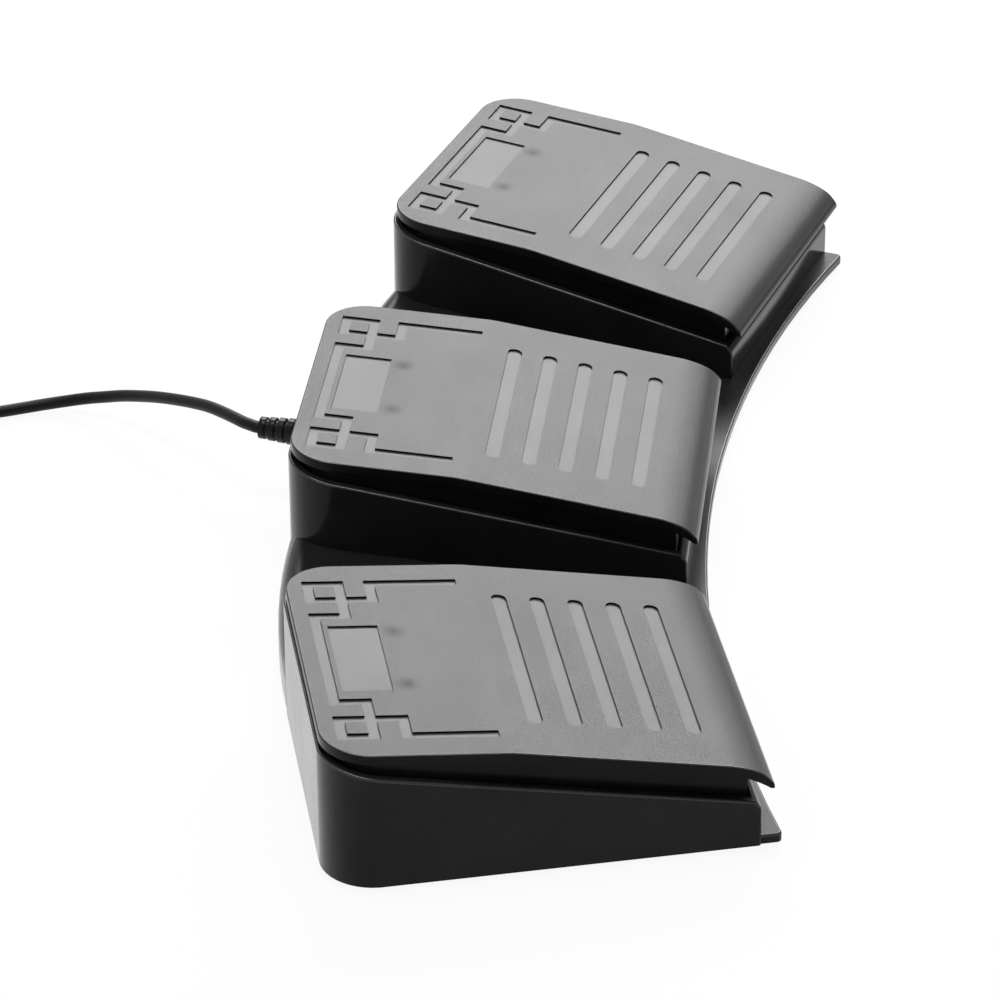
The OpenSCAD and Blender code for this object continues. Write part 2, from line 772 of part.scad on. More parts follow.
module pedal_plate() {
    difference() {
        intersection() {
            linear_extrude(2 * pedal_rear_h) pedal_plan();
            pedal_layer(0, pedal_t);
        }
        sunk(recess_d) recess_plan();
        sunk(label_d) label_plan();
    }
}

module pedal_skirt() {
    skirt_base = [[-pedal_l, rim_h(pedal_l) - skirt_lap], [pedal_t, rim_h(-pedal_t) - skirt_lap]];
    intersection() {
        linear_extrude(2 * pedal_rear_h)
            difference() {
                box_plan(wall + skirt_gap);
                box_plan(wall + skirt_gap + skirt_t);
            }
        side_solid(concat(lowered(pedal_t / 2), skirt_base), pedal_w * 2);
    }
}

module pedal_ribs() {
    rib_rear = hinge_rear + ear_r + eps;
    rib_l = bump_rear - rib_rear;
    intersection() {
        linear_extrude(2 * pedal_rear_h)
            for (side = [-1, 1])
                translate([side * rib_v - rib_t / 2, -rib_rear - rib_l])
                    square([rib_t, rib_l]);
        pedal_layer(pedal_t / 2, pedal_t + rib_h);
    }
}

// Side view of a hinge ear
module ear_plan() {
    translate([-hinge_rear, hinge_h]) circle(ear_r);
    translate([-hinge_rear - ear_r, hinge_h])
        square([2 * ear_r, plate_under(hinge_rear) + pedal_t / 2 - hinge_h]);
}

// Side view extruded along x between two distances from the middle line
module across(v0, v1) {
    translate([v0, 0, 0])
        rotate([90, 0, 90])
            linear_extrude(v1 - v0) children();
}

module pedal_ears() {
    for (side = [-1, 1], step = [-1, 1]) {
        v = side * post_v + step * (ear_offset + ear_t / 2);
        across(v - ear_t / 2, v + ear_t / 2)
            difference() {
                ear_plan();
                translate([-hinge_rear, hinge_h]) circle(pin_r);
            }
    }
}

module pedal_seats() {
    hung(spring_top) translate([0, -spring_rear]) circle(seat_r);
    hung(spring_top - spigot_h) translate([0, -spring_rear]) circle(spigot_r);
    hung(presser_z) translate([switch_v, -switch_rear]) circle(d = presser_d);
    hung(bump_post_z) translate([0, -bump_rear]) circle(d = bump_post_d);
}

module pedal() {
    color(pedal_grey) {
        pedal_plate();
        pedal_skirt();
        pedal_ribs();
        pedal_ears();
        pedal_seats();
    }
}

module hinge_pins(k) {
    color(steel)
        at_station(k)
            for (side = [-1, 1])
                translate([side * post_v, -hinge_rear, hinge_h])
                    rotate([0, 90, 0])
                        cylinder(d = pin_d, h = pin_l, center = true);
}

// Housing
module box_outside() {
    rear = box_rear_gap + eps;
    bevel_u = box_front - rim_bevel;
    intersection() {
        linear_extrude(2 * pedal_rear_h) box_plan(0);
        side_solid([
            [rear, 0], [rear, rim_h(-rear)], [-bevel_u, rim_h(bevel_u)],
            [-box_front, rim_h(box_front) - rim_bevel], [-box_front, 0]
        ], box_rear_w * 2);
    }
}

// A radial section turned about the fan's centre between two angles to the right of the middle
module fan_sweep(from, to) {
    rotate([0, 0, 90 - to])
        rotate_extrude(angle = to - from, $fn = fan_fn)
            children();
}

// The two gaps between the boxes: a radial section turned about the centre of the deck's rear arc
module gap_sweeps() {
    for (side = [-1, 1])
        rotate([0, 0, side * fan_angle / 2])
            translate([0, bow_centre, 0])
                rotate([0, 0, 90 - bow_angle])
                    rotate_extrude(angle = 2 * bow_angle, $fn = fan_fn)
                        translate([-bow_centre, 0])
                            children();
}

module deck_section() {
    flat_r = deck_radius(lip_t);
    front_r = lip_foot_r - wall / 2;
    polygon(concat(
        [[front_r, 0], [deck_edge_r, 0]],
        shoulder(deck_round),
        [[flat_r, lip_t], [front_r, lip_t]]
    ));
}

module deck_cavity_section() {
    polygon(concat(
        [[cavity_r_in, -eps], [cavity_r_out, -eps]],
        shoulder(deck_round - wall),
        [[cavity_r_in, cavity_low_h]]
    ));
}

// Everything on the inner side of the lip's end beside an outer box
module inside_side(k) {
    reach = fan_r;
    x0 = box_half_w(corner_y, lip_inset);
    x1 = box_half_w(-fan_r / 2, lip_inset);
    rotate([0, 0, -k * fan_angle])
        translate([0, fan_r, -eps])
            linear_extrude(lip_t + 2 * eps)
                polygon([
                    [k * x1, -fan_r / 2], [k * x0, corner_y], [k * x0, reach],
                    [-k * reach, reach], [-k * reach, -fan_r / 2]
                ]);
}

module front_lip() {
    lip_reach = fan_angle + atan(box_rear_w / lip_r);
    intersection() {
        fan_sweep(-lip_reach, lip_reach)
            translate([lip_r, 0])
                square([lip_foot_r - lip_r, lip_t]);
        inside_side(LEFT);
        inside_side(RIGHT);
    }
}

// Places of the cover screws: in the gaps, and at the rear of the outer boxes
module at_cover_screws() {
    for (side = [-1, 1], inward = [screw_rear, screw_front])
        rotate([0, 0, side * fan_angle / 2])
            translate([0, deck_r - inward, 0])
                children();
    for (k = [LEFT, RIGHT])
        rotate([0, 0, -k * fan_angle])
            translate([k * screw_v, fan_r + skirt_rear_y - boss_wall - screw_d / 2, 0])
                children();
}

module screw_bosses() {
    boss_d = screw_d + 2 * boss_wall;
    for (side = [-1, 1], inward = [screw_rear, screw_front])
        rotate([0, 0, side * fan_angle / 2])
            translate([0, deck_r - inward, cover_t])
                cylinder(d = boss_d, h = deck_h(deck_r - inward - boss_d / 2) - wall / 2 - cover_t);
    for (k = [LEFT, RIGHT])
        rotate([0, 0, -k * fan_angle])
            translate([k * screw_v, fan_r + skirt_rear_y - boss_wall - screw_d / 2, cover_t]) {
                cylinder(d = boss_d, h = hinge_h / 2);
                translate([-boss_wall, 0, 0])
                    cube([2 * boss_wall, boss_d / 2 + skirt_gap + wall / 2, hinge_h / 2]);
            }
}

// Side view of a hinge post, from the rear wall to the bore
module post_plan() {
    shoulder = rim_h(-skirt_rear_y + skirt_t) - skirt_lap - heel_gap;
    shoulder_y = skirt_rear_y - skirt_t - heel_gap;
    rear_y = box_rear_gap - wall / 2;
    foot = hinge_h / 2;
    translate([-hinge_rear, hinge_h]) circle(ear_r);
    polygon([
        [rear_y, foot], [rear_y, shoulder], [shoulder_y, shoulder], [-hinge_rear, hinge_h],
        [-hinge_rear - ear_r, hinge_h], [-hinge_rear, foot + bore_wall]
    ]);
}

module hinge_posts() {
    for (side = [-1, 1]) {
        v = side * post_v;
        across(v - post_t / 2, v + post_t / 2)
            difference() {
                post_plan();
                translate([-hinge_rear, hinge_h]) circle(pin_r + pin_clearance);
            }
    }
}

module housing_shell() {
    difference() {
        union() {
            gap_sweeps() deck_section();
            front_lip();
            for (k = stations)
                rotate([0, 0, -k * fan_angle])
                    translate([0, fan_r, 0])
                        box_outside();
        }
        gap_sweeps() deck_cavity_section();
        for (k = stations)
            rotate([0, 0, -k * fan_angle])
                translate([0, fan_r, -eps])
                    linear_extrude(2 * pedal_rear_h)
                        box_plan(wall);
        translate([0, box_rear_r, outlet_h])
            rotate([90, 0, 0])
                cylinder(d = relief_core_d, h = 3 * wall, center = true);
    }
}

module base_housing() {
    color(shell_black)
        at_fan()
            difference() {
                union() {
                    housing_shell();
                    screw_bosses();
                    for (k = stations)
                        rotate([0, 0, -k * fan_angle])
                            translate([0, fan_r, 0])
                                hinge_posts();
                }
                at_cover_screws()
                    translate([0, 0, -eps])
                        cylinder(d = screw_d + 2 * screw_clearance, h = screw_l + eps + screw_clearance);
            }
}

// Bottom cover
module at_feet() {
    for (k = stations, u = [foot_rear, foot_front])
        rotate([0, 0, -k * fan_angle])
            translate([0, fan_r - u, 0])
                children();
}

module cover_band_section() {
    translate([cavity_r_in + cover_gap, 0])
        square([cavity_r_out - cavity_r_in - 2 * cover_gap, cover_t]);
}

// Places of the switch boards' and main board's screws, in one station
module at_board_screws(k) {
    dx = board_w / 2 - board_inset;
    for (side = [-1, 1])
        translate([switch_v + side * dx, -board_rear - board_inset, 0])
            children();
    if (k == MIDDLE)
        for (side = [-1, 1], end = [-1, 1])
            translate([
                main_x + side * (main_w / 2 - board_inset),
                -main_mid + end * (main_y / 2 - board_inset), 0
            ])
                children();
}

module cover_fittings(k) {
    difference() {
        at_board_screws(k) cylinder(d = standoff_d, h = board_z);
        at_board_screws(k)
            translate([0, 0, board_z - board_screw_l - eps])
                cylinder(d = board_screw_d + 2 * screw_clearance, h = board_screw_l + 2 * eps);
    }
    translate([0, -spring_rear, 0]) cylinder(r = spigot_r, h = cover_t + spigot_h);
}

module bottom_cover() {
    head_h = (screw_head_d - screw_d) / 2;
    color(rubber_black)
        at_fan() {
            difference() {
                union() {
                    gap_sweeps() cover_band_section();
                    for (k = stations)
                        rotate([0, 0, -k * fan_angle])
                            translate([0, fan_r, 0])
                                linear_extrude(cover_t)
                                    box_plan(wall + cover_gap);
                }
                at_cover_screws() {
                    translate([0, 0, -eps])
                        cylinder(d = screw_d + 2 * screw_clearance, h = cover_t + 2 * eps);
                    cylinder(d1 = screw_head_d, d2 = screw_d, h = head_h);
                }
                at_feet()
                    translate([0, 0, -eps])
                        cylinder(d = foot_d, h = foot_t - foot_proud + eps);
            }
            for (k = stations)
                rotate([0, 0, -k * fan_angle])
                    translate([0, fan_r, 0])
                        cover_fittings(k);
        }
}

module cover_screws() {
    head_h = (screw_head_d - screw_d) / 2;
    socket_w = screw_d / 4;
    color(steel)
        at_fan()
            at_cover_screws()
                difference() {
                    union() {
                        cylinder(d1 = screw_head_d - 2 * screw_clearance, d2 = screw_d, h = head_h);
                        cylinder(d = screw_d, h = screw_l);
                    }
                    for (turn = [0, 90])
                        rotate([0, 0, turn])
                            cube([screw_d, socket_w, head_h], center = true);
                }
}

module rubber_feet() {
    color(rubber_black)
        at_fan()
            at_feet()
                translate([0, 0, -foot_proud])
                    cylinder(d = foot_d, h = foot_t);
}

// A tube of flat-sided rings along a path that is never vertical
function unit(v) = v / norm(v);
function heading(path, i) = unit(path[min(i + 1, len(path) - 1)] - path[max(i - 1, 0)]);
function tube_ring(p, t, r, sides) =
    let (left = unit(cross([0, 0, 1], t)), up = cross(t, left))
    [
        for (k = [0 : sides - 1])
            let (a = 360 * k / sides)
            p + r * (cos(a) * left + sin(a) * up)
    ];
module tube(path, r, sides) {
    rings = len(path);
    last = (rings - 1) * sides;
    walls = [
        for (i = [0 : rings - 2], k = [0 : sides - 1])
            let (a = i * sides + k, b = i * sides + (k + 1) % sides)
            each [[a, a + sides, b], [b, a + sides, b + sides]]
    ];
    caps = [
        for (k = [1 : sides - 2])
            each [[0, k, k + 1], [last, last + k + 1, last + k]]
    ];
    points = [for (i = [0 : rings - 1]) each tube_ring(path[i], heading(path, i), r, sides)];
    polyhedron(points, concat(walls, caps));
}

// Least gap between the turns of a tube whose path points lie at least so many steps apart
function self_gap(path, apart, d) =
    min([
        for (i = [0 : len(path) - 1], j = [i + apart : 1 : len(path) - 1])
            norm(path[i] - path[j])
    ]) - d;

spring_rings = 8;
spring_path = [
    for (i = [0 : spring_turns * spring_rings])
        let (a = 360 * i / spring_rings)
        [
            spring_d / 2 * cos(a), spring_d / 2 * sin(a),
            cover_t + spring_wire / 2 + spring_seat_gap
                + (spring_l - spring_wire - 2 * spring_seat_gap) * i / (spring_turns * spring_rings)
        ]
];

module return_spring(k) {
    color(steel)
        at_station(k)
            translate([0, -spring_rear, 0])
                tube(spring_path, spring_wire / 2, coil_sides);
}

// Switches and boards
module switch_body(k) {
    color(rubber_black)
        at_station(k)
            translate([switch_v, -switch_rear, switch_z])
                difference() {
                    translate([-switch_w / 2, -switch_y / 2, 0])
                        cube([switch_w, switch_y, switch_h]);
                    translate([0, 0, switch_h - plunger_seat - plunger_travel])
                        cylinder(d = plunger_d + 2 * plunger_clearance, h = switch_h);
                }
}

module switch_plunger(k) {
    color("firebrick")
        at_station(k)
            translate([switch_v, -switch_rear, plunger_top - plunger_proud - plunger_seat])
                cylinder(d = plunger_d, h = plunger_proud + plunger_seat);
}

module switch_board(k) {
    color(board_green)
        at_station(k)
            difference() {
                translate([switch_v - board_w / 2, -board_rear - board_y, board_z])
                    cube([board_w, board_y, board_t]);
                at_board_screws(LEFT)
                    cylinder(d = board_screw_d + 2 * screw_clearance, h = pedal_rear_h);
            }
}

module board_screws() {
    color(steel)
        for (k = stations)
            at_station(k)
                at_board_screws(k) {
                    translate([0, 0, switch_z - board_t - board_screw_l])
                        cylinder(d = board_screw_d, h = board_screw_l + board_t);
                    translate([0, 0, switch_z])
                        cylinder(d = board_head_d, h = board_head_h);
                }
}

module main_board() {
    color(board_green)
        at_station(MIDDLE)
            difference() {
                translate([main_x - main_w / 2, -main_rear - main_y, board_z])
                    cube([main_w, main_y, board_t]);
                at_board_screws(MIDDLE)
                    cylinder(d = board_screw_d + 2 * screw_clearance, h = pedal_rear_h);
            }
}

module controller_chip() {
    color(rubber_black)
        at_station(MIDDLE)
            translate([main_x, -main_mid, switch_z])
                linear_extrude(chip_t)
                    square(chip_w, center = true);
}

module board_headers() {
    dx = (header_w + header_gap) / 2;
    dy = (chip_w + header_y) / 2 + 2 * header_gap;
    color("ivory")
        at_station(MIDDLE)
            for (side = [-1, 1], end = [-1, 1])
                translate([main_x + side * dx, -main_mid + end * dy, switch_z])
                    linear_extrude(header_h)
                        square([header_w, header_y], center = true);
}

module lead(route) {
    color("gray") tube(route, lead_d / 2, coil_sides);
}

module bump_stops() {
    color(rubber_black)
        for (k = stations)
            at_station(k)
                translate([0, -bump_rear, cover_t])
                    cylinder(d = bump_d, h = bump_h);
}

// USB lead
relief_root_l = relief_core_d / 2 * tan(relief_lean) + floor_gap;

module relief_root_section() {
    core_r = relief_core_d / 2;
    flange_r = relief_flange_d / 2;
    flange_y = -wall - relief_flange_t;
    polygon([
        [0, flange_y], [flange_r, flange_y], [flange_r, -wall],
        [core_r, -wall], [core_r, 2 * relief_root_l], [0, 2 * relief_root_l]
    ]);
}

module relief_ribs_section() {
    rib_w = relief_pitch - relief_groove;
    rib_step = (relief_d - relief_end_d) / (relief_ribs - 1);
    translate([0, relief_root_l]) square([relief_core_d / 2, relief_l - relief_root_l]);
    for (i = [0 : relief_ribs - 1])
        translate([0, relief_first + i * relief_pitch])
            square([(relief_d - i * rib_step) / 2, rib_w]);
}

module cable_strain_relief() {
    color(rubber_black)
        translate([0, outlet_y, outlet_z]) {
            rotate([-90, 0, 0])
                rotate_extrude()
                    relief_root_section();
            rotate([0, 0, -relief_lean])
                rotate([-90, 0, 0])
                    rotate_extrude()
                        relief_ribs_section();
        }
}

module cable_inner() {
    color(rubber_black) tube(cable_inner_route, cable_r, cable_sides);
}

module usb_cable() {
    color(rubber_black) tube(cable_route, cable_r, cable_sides);
}

module usb_cable_coil() {
    echo(coil_gap = self_gap(coil_path, coil_rings / 2, cable_d));
    color(rubber_black) tube(coil_path, cable_r, coil_sides);
}

module usb_cable_end() {
    color(rubber_black) tube(cable_end_route, cable_r, cable_sides);
}

// A band round the coil's section on its -X side
module cable_tie() {
    section_w = coil_width + cable_d + 2 * tie_gap;
    section_h = (coil_layers - 1) * coil_rise + cable_d + 2 * tie_gap;
    color("black")
        translate([coil_centre[0] - coil_d / 2, coil_centre[1], coil_base + section_h / 2 - tie_gap])
            rotate([90, 0, 0])
                linear_extrude(tie_w, center = true)
                    difference() {
                        square([section_w + 2 * tie_t, section_h + 2 * tie_t], center = true);
                        square([section_w, section_h], center = true);
                    }
}

// Plug, drawn along +Z from the lead and then laid down towards -X
module at_plug() {
    translate([plug_x, plug_y, plug_z])
        rotate([0, -90, 0])
            children();
}

module rounded_square(size, r) {
    square([size[0] - 2 * r, size[1]], center = true);
    square([size[0], size[1] - 2 * r], center = true);
    for (x = [-1, 1], y = [-1, 1])
        translate([x * (size[0] / 2 - r), y * (size[1] / 2 - r)])
            circle(r);
}

module plug_overmould() {
    color(rubber_black)
        at_plug() {
            cylinder(d = neck_d, h = neck_l);
            translate([0, 0, neck_l])
                linear_extrude(plug_l)
                    rounded_square([plug_h, plug_w], plug_corner_r);
        }
}

module plug_shell() {
    color(steel)
        at_plug()
            translate([0, 0, neck_l + plug_l])
                linear_extrude(shell_l)
                    difference() {
                        square([shell_h, shell_w], center = true);
                        square([shell_h - 2 * shell_t, shell_w - 2 * shell_t], center = true);
                    }
}

module plug_tongue() {
    color("ivory")
        at_plug()
            translate([-shell_h / 2 + shell_t, -shell_w / 2 + shell_t, neck_l + plug_l])
                cube([tongue_t, shell_w - 2 * shell_t, shell_l - shell_t]);
}

module plug_contacts() {
    tongue_top = -shell_h / 2 + shell_t + tongue_t;
    color("gold")
        at_plug()
            for (i = [-3 : 2 : 3])
                translate([tongue_top, (i * contact_pitch - contact_w) / 2, neck_l + plug_l])
                    cube([contact_t, contact_w, contact_l]);
}

base_housing();
bottom_cover();
cover_screws();
rubber_feet();
at_station(LEFT) pedal();  // pedal_left
at_station(MIDDLE) pedal();  // pedal_middle
at_station(RIGHT) pedal();  // pedal_right
hinge_pins(LEFT);  // hinge_pins_left
hinge_pins(MIDDLE);  // hinge_pins_middle
hinge_pins(RIGHT);  // hinge_pins_right
return_spring(LEFT);  // return_spring_left
return_spring(MIDDLE);  // return_spring_middle
return_spring(RIGHT);  // return_spring_right
switch_body(LEFT);  // switch_body_left
switch_body(MIDDLE);  // switch_body_middle
switch_body(RIGHT);  // switch_body_right
switch_plunger(LEFT);  // switch_plunger_left
switch_plunger(MIDDLE);  // switch_plunger_middle
switch_plunger(RIGHT);  // switch_plunger_right
switch_board(LEFT);  // switch_board_left
switch_board(MIDDLE);  // switch_board_middle
switch_board(RIGHT);  // switch_board_right
board_screws();
main_board();
controller_chip();
board_headers();
lead(lead_left_route);  // lead_left
lead(lead_middle_route);  // lead_middle
lead(lead_right_route);  // lead_right
bump_stops();
cable_strain_relief();
cable_inner();
usb_cable();
usb_cable_coil();
usb_cable_end();
cable_tie();
plug_overmould();
plug_shell();
plug_tongue();
plug_contacts();
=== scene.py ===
"""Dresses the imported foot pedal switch: camera, lead, softened edges, materials, floor and light."""
import json
import math

import bmesh
import bpy
from mathutils import Matrix, Vector

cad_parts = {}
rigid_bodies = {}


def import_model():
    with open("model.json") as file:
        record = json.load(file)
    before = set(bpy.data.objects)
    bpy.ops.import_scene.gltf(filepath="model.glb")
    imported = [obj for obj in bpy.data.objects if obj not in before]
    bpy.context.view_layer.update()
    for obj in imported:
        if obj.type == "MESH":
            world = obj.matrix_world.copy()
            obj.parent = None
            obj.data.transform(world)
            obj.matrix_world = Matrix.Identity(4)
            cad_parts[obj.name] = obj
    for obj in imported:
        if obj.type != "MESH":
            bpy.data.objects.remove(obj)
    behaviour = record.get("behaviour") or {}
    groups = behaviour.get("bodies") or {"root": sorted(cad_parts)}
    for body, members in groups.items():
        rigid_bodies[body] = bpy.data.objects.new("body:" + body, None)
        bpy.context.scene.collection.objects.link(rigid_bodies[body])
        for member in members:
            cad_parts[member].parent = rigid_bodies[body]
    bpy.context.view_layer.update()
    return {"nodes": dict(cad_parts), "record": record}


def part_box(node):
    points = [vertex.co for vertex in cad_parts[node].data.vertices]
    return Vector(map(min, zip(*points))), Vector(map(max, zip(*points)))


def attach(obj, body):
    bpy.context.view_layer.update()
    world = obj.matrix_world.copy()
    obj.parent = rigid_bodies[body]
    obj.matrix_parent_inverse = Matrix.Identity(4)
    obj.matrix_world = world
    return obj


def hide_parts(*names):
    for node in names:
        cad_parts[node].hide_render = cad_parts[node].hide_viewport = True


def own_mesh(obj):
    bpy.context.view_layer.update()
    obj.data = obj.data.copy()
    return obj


for leftover in list(bpy.data.objects):
    bpy.data.objects.remove(leftover)
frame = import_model()
scene = bpy.context.scene
nodes = frame["nodes"]
MM = 0.001
SIDES = {"left": -1, "middle": 0, "right": 1}

# Sizes that the part's solids have, in metres
FAN_R = 0.4927
FAN_ANGLE = math.radians(15)
FAN_CENTRE_Y = -0.431855
FOOT_PROUD = 0.001
PEDAL_W = 0.0796
PEDAL_L = 0.0965
PEDAL_CORNER_R = 0.011
BOX_REAR_W = 0.0834
BOX_FRONT = 0.094
BOX_TAPER = math.radians(2)
BOX_CORNER_R = 0.012
BOX_REAR_GAP = 0.0005
WALL = 0.002
LIP_TOP = 0.0031

# Camera, at the photograph's viewing angle, with its lens and sensor in millimetres
CAMERA_AT = Vector((-0.98604, -0.09434, 0.56830))
CAMERA_AZIMUTH = math.radians(6.3217)
CAMERA_DROP = math.radians(29.703)
CAMERA_ROLL = math.radians(-0.248)
CAMERA_LENS = 170.22
CAMERA_SENSOR = 36


def make_camera():
    """The photograph's camera, from where it stands, looks and leans."""
    level = math.cos(CAMERA_DROP)
    forward = Vector((
        level * math.cos(CAMERA_AZIMUTH),
        level * math.sin(CAMERA_AZIMUTH),
        -math.sin(CAMERA_DROP),
    ))
    flat_right = forward.cross(Vector((0, 0, 1))).normalized()
    flat_up = flat_right.cross(forward)
    right = flat_right * math.cos(CAMERA_ROLL) + flat_up * math.sin(CAMERA_ROLL)
    up = flat_up * math.cos(CAMERA_ROLL) - flat_right * math.sin(CAMERA_ROLL)
    data = bpy.data.cameras.new("camera")
    data.lens = CAMERA_LENS
    data.sensor_width = CAMERA_SENSOR
    camera = bpy.data.objects.new("camera", data)
    turn = Matrix((right, up, -forward)).transposed().to_4x4()
    camera.matrix_world = Matrix.Translation(CAMERA_AT) @ turn
    scene.collection.objects.link(camera)
    scene.camera = camera


make_camera()

# Lead: the route's points repeat those of the solids, in millimetres, with y counted from WAY_Y
CORD_D = 0.003
WAY_Y = 0.0733451
CORD_WAY = (
    (2.3, 1, 18), (2.9, 2.1, 18), (4.2, 4.1, 17.9), (6.3, 6.4, 17.7), (10.2, 10.3, 17.1),
    (14, 14.4, 16.4), (17.5, 18.5, 15.3), (20.9, 22.7, 14), (24.2, 26.9, 12.6), (27.5, 31, 11),
    (30.6, 35.3, 9.3), (33.4, 39.8, 7.6), (35.7, 44.5, 5.8), (37.2, 49.6, 4.3), (37.6, 55, 3),
    (36.8, 60.4, 2.2), (35.1, 65.6, 1.8), (32.9, 70.7, 1.7), (30.8, 75.8, 1.8), (29, 81.1, 2.2),
    (28.1, 86.5, 2.6),
)
# Shares of the way along and down, from the coil's end to the plug
CORD_END_WAY = (
    (0, 0), (0.1, 0.03), (0.22, 0.13), (0.35, 0.3), (0.5, 0.5),
    (0.65, 0.7), (0.78, 0.87), (0.9, 0.97), (1, 1),
)
CORD_EXIT = Vector((0.0020838, 0.0731628, 0.018))
COIL_TURNS = 14.25
COIL_LAYERS = 4
COIL_POINTS = 24
COIL_PITCH = 0.0038
COIL_RISE = 0.0036
COIL_MEAN_D = 0.036
COIL_X = 0.028
COIL_Y = 0.0945
COIL_LOW = 0.0013
COIL_CLIMB_TURNS = 0.5
COIL_LAYER_TURNS = COIL_TURNS / COIL_LAYERS
COIL_WIDTH = COIL_LAYER_TURNS * COIL_PITCH
COIL_OUTER_R = (COIL_MEAN_D + COIL_WIDTH) / 2
PLUG_X = -0.048
PLUG_Z = 0.0041
WIRE_STEPS = 5
WIRE_ROUNDNESS = 5


def ease(x):
    """A smooth rise from 0 to 1."""
    x = min(max(x, 0), 1)
    return x * x * (3 - 2 * x)


def coil_point(turn):
    """The lead's middle after a number of turns, in layers that run inward and outward in alternation."""
    layer = min(math.floor(turn / COIL_LAYER_TURNS), COIL_LAYERS - 1)
    share = turn / COIL_LAYER_TURNS - layer
    inward = share if layer % 2 == 0 else 1 - share
    climbed = sum(
        ease((turn - n * COIL_LAYER_TURNS) / COIL_CLIMB_TURNS + 0.5)
        for n in range(1, COIL_LAYERS)
    )
    r = COIL_OUTER_R - COIL_WIDTH * inward
    a = 2 * math.pi * turn
    return Vector((
        COIL_X - COIL_OUTER_R + r * math.cos(a),
        WAY_Y + COIL_Y + r * math.sin(a),
        COIL_LOW + CORD_D / 2 + COIL_RISE * climbed,
    ))


def cord_points():
    """The whole lead, from the strain relief through the coil to the plug."""
    first, last = coil_point(0), coil_point(COIL_TURNS)
    points = [CORD_EXIT.copy()]
    points += [Vector((x * MM, WAY_Y + y * MM, z * MM)) for x, y, z in CORD_WAY]
    points += [first - Vector((0, 2 * CORD_D, 0)), first - Vector((0, CORD_D, 0))]
    points += [coil_point(i / COIL_POINTS) for i in range(math.floor(COIL_TURNS * COIL_POINTS))]
    points += [last, last - Vector((CORD_D, 0, 0))]
    start = last - Vector((2 * CORD_D, 0, 0))
    way = Vector((PLUG_X + CORD_D, last.y, PLUG_Z)) - start
    points += [start + Vector((x * way.x, 0, z * way.z)) for x, z in CORD_END_WAY]
    points.append(Vector((PLUG_X, last.y, PLUG_Z)))
    return points


def round_wire(name, points, diameter, slot, *replaced):
    """A round cord or wire that rides on the base, along smooth curves through the points."""
    curve = bpy.data.curves.new(name, "CURVE")
    curve.dimensions = "3D"
    curve.resolution_u = WIRE_STEPS
    # At a depth of 1, the radius of a point is the radius of the wire
    curve.bevel_depth = 1
    curve.bevel_resolution = WIRE_ROUNDNESS
    curve.use_fill_caps = True
    spline = curve.splines.new("BEZIER")
    spline.bezier_points.add(len(points) - 1)
    for point, place in zip(spline.bezier_points, points):
        point.co = place
        point.radius = diameter / 2
        point.handle_left_type = "AUTO"
        point.handle_right_type = "AUTO"
    wire = bpy.data.objects.new(name, curve)
    scene.collection.objects.link(wire)
    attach(wire, "base")
    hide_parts(*replaced)
    return wire


usb_lead = round_wire(
    "usb_lead", cord_points(), CORD_D, "cord",
    "usb_cable", "usb_cable_coil", "usb_cable_end",
)

# Sockets of the mix node for colours, whose names repeat
MIX_DARK = 6
MIX_LIGHT = 7
MIX_RESULT = 2
# Range that most of a noise lies in
NOISE_LOW = 0.3
NOISE_HIGH = 0.7


class Shader:
    """A material under construction, with short ways to add and link its nodes."""

    def __init__(self, name):
        self.material = bpy.data.materials.new(name)
        self.material.use_nodes = True
        self.tree = self.material.node_tree
        self.bsdf = self.tree.nodes["Principled BSDF"]
        self.place = self.add("ShaderNodeTexCoord").outputs["Object"]

    def add(self, kind, **inputs):
        node = self.tree.nodes.new(kind)
        for key, value in inputs.items():
            self.put(node.inputs[key.replace("_", " ")], value)
        return node

    def put(self, socket, value):
        if isinstance(value, bpy.types.NodeSocket):
            self.tree.links.new(value, socket)
        else:
            socket.default_value = value

    def noise(self, scale, detail, roughness, place=None):
        node = self.add(
            "ShaderNodeTexNoise",
            Vector=place or self.place, Scale=scale, Detail=detail, Roughness=roughness,
        )
        return node.outputs["Fac"]

    def span(self, value, low, high, start=NOISE_LOW, stop=NOISE_HIGH):
        node = self.add(
            "ShaderNodeMapRange",
            Value=value, From_Min=start, From_Max=stop, To_Min=low, To_Max=high,
        )
        return node.outputs["Result"]

    def blend(self, share, dark, light):
        node = self.tree.nodes.new("ShaderNodeMix")
        node.data_type = "RGBA"
        self.put(node.inputs["Factor"], share)
        self.put(node.inputs[MIX_DARK], dark)
        self.put(node.inputs[MIX_LIGHT], light)
        return node.outputs[MIX_RESULT]

    def math(self, operation, a, b):
        node = self.tree.nodes.new("ShaderNodeMath")
        node.operation = operation
        self.put(node.inputs[0], a)
        self.put(node.inputs[1], b)
        return node.outputs[0]

    def bump(self, height, depth):
        node = self.add("ShaderNodeBump", Strength=1.0, Distance=depth, Height=height)
        return node.outputs["Normal"]

    def set(self, **inputs):
        for key, value in inputs.items():
            self.put(self.bsdf.inputs[key.replace("_", " ")], value)


def shade(level, colour=(1, 1, 1)):
    """A colour, or a grey, at a level of brightness."""
    return tuple(level * c for c in colour) + (1,)


# Marks of the ejector pins, shallow dents: radius, fall of strength from the middle, a darker tone that is
# painted shade, and added roughness
SINK_R = 0.0036
SINK_FALL = 1.5
SINK_SHADE_TONE = 0.5
SINK_DULL = 0.16


def sink_dents_and_shade(s, places):
    """Soft round spots at places of the object, for the dents' painted shade and roughness: 1 in the
    middle of each and 0 away from it.
    """
    dent_and_shade_spots = 0.0
    for place in places:
        away = s.tree.nodes.new("ShaderNodeVectorMath")
        away.operation = "DISTANCE"
        s.put(away.inputs[0], s.place)
        away.inputs[1].default_value = place
        near = s.span(away.outputs["Value"], 1, 0, 0, SINK_R)
        dent_and_shade_spots = s.math("MAXIMUM", s.math("POWER", near, SINK_FALL), dent_and_shade_spots)
    return dent_and_shade_spots


